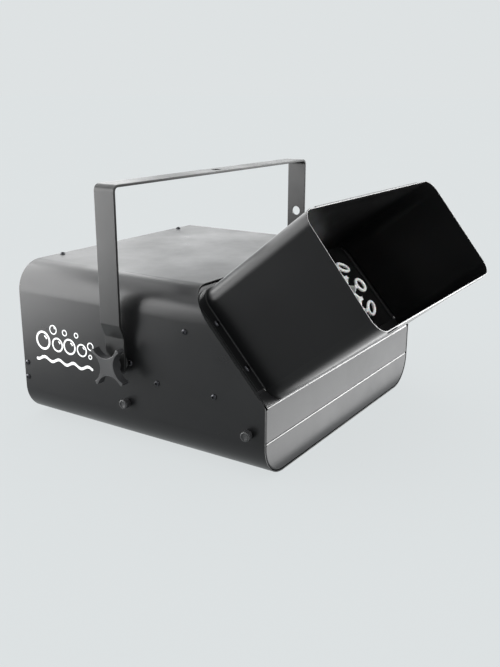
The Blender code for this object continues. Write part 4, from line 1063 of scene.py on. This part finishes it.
# ---- print -------------------------------------------------------------------------------------------
def ripple(y_low, y_high, z, width, height, wavelength, steps=60):
    """Closed outline of a wavy line with rounded ends."""
    ys = [y_low + (y_high - y_low) * i / steps for i in range(steps + 1)]
    crest = [z + height * math.sin(math.tau * (y - y_low) / wavelength) for y in ys]
    upper = [(y, c + width / 2) for y, c in zip(ys, crest)]
    lower = [(y, c - width / 2) for y, c in zip(ys, crest)]
    start, end = (ys[0], crest[0]), (ys[-1], crest[-1])
    return lower[1:-1] + arc(end, width / 2, -90, 90, 8) + upper[-2:0:-1] + arc(start, width / 2, 90, 270, 8)


def make_print():
    """Rings over a ripple, as a generic sign for bubbles, on both sides."""
    bubbles = [(141, 103, 12), (117, 101, 9), (97, 102, 10), (77, 101, 8), (123, 119, 6), (63, 108, 5),
               (104, 118, 4), (85, 118, 3.5), (64, 95, 3)]
    for side, name in ((-1, "left"), (1, "right")):
        matrix = plane_at_x(side * (HALF_W + 0.06 * MM))
        marks = [plate("ripple", [ripple(62 * MM, 153 * MM, 80 * MM, 3.6 * MM, 2.2 * MM, 24 * MM)],
                       0.1 * MM, matrix)]
        for y, z, radius in bubbles:
            centre, radius = (y * MM, z * MM), radius * MM
            line = max(1.3 * MM, 0.22 * radius)
            marks.append(plate("bubble", [circle(centre, radius, 64), circle(centre, radius - line, 64)],
                               0.1 * MM, matrix))
            if radius > 5 * MM:
                glint = arc(centre, radius * 0.64, 112, 158, 10) + arc(centre, radius * 0.46, 158, 112, 10)
                marks.append(plate("glint", [glint], 0.1 * MM, matrix))
        place(f"bubble_print_{name}", merged("bubble_print", marks), INK, "housing")


# ---- carried-over parts ------------------------------------------------------------------------------
def dress_frame_parts():
    """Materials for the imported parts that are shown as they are."""
    looks = {INSIDE: ["fan_bulkhead", "wheel_bracket_left", "wheel_bracket_right", "slope_frame"],
             SHEET_ZINC: ["base_plate", "power_supply"],
             GROUND: ["wheel_shaft"],
             ZINC: ["wheel_motor", "yoke_nut_left", "yoke_nut_right"],
             BRASS: ["shaft_bush_left", "shaft_bush_right"],
             BOARD: ["control_board", "display_board"],
             SOFT_RUBBER: ["friction_washer_left", "friction_washer_right"]}
    for mat, names in looks.items():
        for name in names:
            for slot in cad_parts[name].material_slots:
                slot.material = mat


make_cover()
make_front_panel()
make_duct()
make_drawer()
make_yoke()
make_rear_panel()
for SIDE, NAME in ((-1, "left"), (1, "right")):
    make_star_knob(SIDE, NAME)
    for Y, PLACE in zip(THUMB_Y, ("rear", "front")):
        make_thumb_screw(SIDE, NAME, Y, PLACE)
    make_wheel(SIDE, NAME, ribbed_ring())
    make_fan(SIDE, NAME)
make_screws()
make_feet()
make_inlet()
make_fuse()
make_switch()
make_socket("in", DATA_IN, False)
make_socket("out", DATA_OUT, True)
make_display()
make_print()
dress_frame_parts()


# ---- studio ------------------------------------------------------------------------------------------
PAPER = (0.730, 0.761, 0.769)


def make_floor():
    """Pale paper. Most of its light is its own, so that it stays even and takes only soft shadows."""
    mat = Nodes("floor_paper")
    shade = mat.spread(mat.noise(3, 2), 0, 1)
    lit = 0.14
    mat.link(mat.blend(shade, tuple(0.99 * lit * c for c in PAPER), tuple(1.01 * lit * c for c in PAPER)),
             mat.shader.inputs["Base Color"])
    mat.set(Roughness=1.0, Emission_Color=(*PAPER, 1), Emission_Strength=1 - lit * PAPER[1],
            Specular_IOR_Level=0.0)
    bm = bmesh.new()
    bmesh.ops.create_grid(bm, x_segments=1, y_segments=1, size=60)
    mesh = bpy.data.meshes.new("floor")
    bm.to_mesh(mesh)
    bm.free()
    mesh.materials.append(mat.material)
    floor = bpy.data.objects.new("floor", mesh)
    bpy.context.scene.collection.objects.link(floor)
    unlit = bpy.data.collections.new("unlit_by_softboxes")
    unlit.objects.link(floor)
    unlit.collection_objects[0].light_linking.link_state = 'EXCLUDE'
    return unlit


def front_only():
    """The pieces that the flagged light on the front's folds reaches."""
    front = bpy.data.collections.new("lit_front")
    for name in ("front_face", "drawer_tub", "duct_shell", "duct_hems"):
        front.objects.link(bpy.data.objects[name])
    return front


def area_light(name, matrix, size, radiance, receivers):
    """Rectangular light that shows in its receivers' reflections, and not in the picture."""
    data = bpy.data.lights.new(name, 'AREA')
    data.shape = 'RECTANGLE'
    data.size, data.size_y = size
    data.energy = math.pi * size[0] * size[1] * radiance
    light = bpy.data.objects.new(name, data)
    light.matrix_world = matrix
    light.visible_camera = False
    light.light_linking.receiver_collection = receivers
    bpy.context.scene.collection.objects.link(light)
    return data


def softbox(name, centre, target, size, radiance, receivers):
    turn = (Vector(target) - Vector(centre)).to_track_quat('-Z', 'Y').to_matrix().to_4x4()
    area_light(name, Matrix.Translation(centre) @ turn, size, radiance, receivers)


def floor_glow(name, low, high, radiance, receivers, fade, start, power):
    """Bright stretch of floor, whose light grows along the axis fade from its start to the full radiance."""
    size = (high[0] - low[0], high[1] - low[1])
    centre = ((low[0] + high[0]) / 2, (low[1] + high[1]) / 2, 2 * MM)
    turn = Matrix.Rotation(math.pi, 4, 'Y')
    data = area_light(name, Matrix.Translation(centre) @ turn, size, radiance, receivers)
    data.use_nodes = True
    tree = data.node_tree
    on_light = tree.nodes.new("ShaderNodeNewGeometry").outputs["Parametric"]
    split = tree.nodes.new("ShaderNodeSeparateXYZ")
    curve = tree.nodes.new("ShaderNodeMath")
    curve.operation = 'POWER'
    curve.inputs[1].default_value = power
    scale = tree.nodes.new("ShaderNodeMath")
    scale.operation = 'MULTIPLY_ADD'
    scale.inputs[1].default_value = 1 - start
    scale.inputs[2].default_value = start
    tree.links.new(on_light, split.inputs["Vector"])
    tree.links.new(split.outputs[fade], curve.inputs[0])
    tree.links.new(curve.outputs["Value"], scale.inputs[0])
    tree.links.new(scale.outputs["Value"], tree.nodes["Emission"].inputs["Strength"])


def make_studio():
    scene = bpy.context.scene
    scene.view_settings.view_transform = 'Standard'
    world = bpy.data.worlds.new("studio")
    world.use_nodes = True
    world.node_tree.nodes["Background"].inputs["Color"].default_value = (*PAPER, 1)
    scene.world = world
    unlit = make_floor()
    softbox("rear_right", (1.9, 1.4, 0.45), (0, 0.05, 0.2), (1.6, 0.7), 1.8, unlit)
    softbox("rear_left", (-0.45, 0.62, 0.32), (-0.3, 0, 0.12), (0.8, 0.6), 8, unlit)
    softbox("behind", (0.3, 0.85, 0.68), (0, -0.2, 0.25), (0.7, 0.3), 4, unlit)
    softbox("overhead_rear", (-0.2, 0.9, 1.5), (0, 0, 0.15), (1.2, 0.8), 1.8, unlit)
    softbox("right", (1.9, -1.35, 0.6), (0, -0.1, 0.1), (1.1, 1.2), 6, unlit)
    softbox("right_high", (1.8, -0.9, 1.3), (0, -0.1, 0.1), (1.1, 0.7), 16, unlit)
    softbox("front_folds", (1.9, -1.35, 0.75), (0, -0.1, 0.1), (1.1, 0.9), 25, front_only())
    softbox("front", (0, -1.6, 1.4), (0, -0.1, 0.15), (1.2, 1.0), 6, unlit)
    floor_glow("front_floor", (-0.17, -0.58), (0.85, -0.14), 3.3, unlit, "X", 0.28, 1)
    floor_glow("left_floor", (-0.75, 0.25), (-0.22, 0.75), 8, unlit, "Y", 0, 2)


def make_camera():
    data = bpy.data.cameras.new("camera")
    data.sensor_width = 36
    data.lens = 43.63
    data.clip_end = 100
    camera = bpy.data.objects.new("camera", data)
    turn = (Matrix.Rotation(math.radians(-57.2), 4, 'Z') @ Matrix.Rotation(math.radians(73.33), 4, 'X')
            @ Matrix.Rotation(math.radians(0.18), 4, 'Z'))
    camera.matrix_world = Matrix.Translation((-0.8445, -0.5281, 0.3970)) @ turn
    bpy.context.scene.collection.objects.link(camera)
    bpy.context.scene.camera = camera


make_studio()
make_camera()
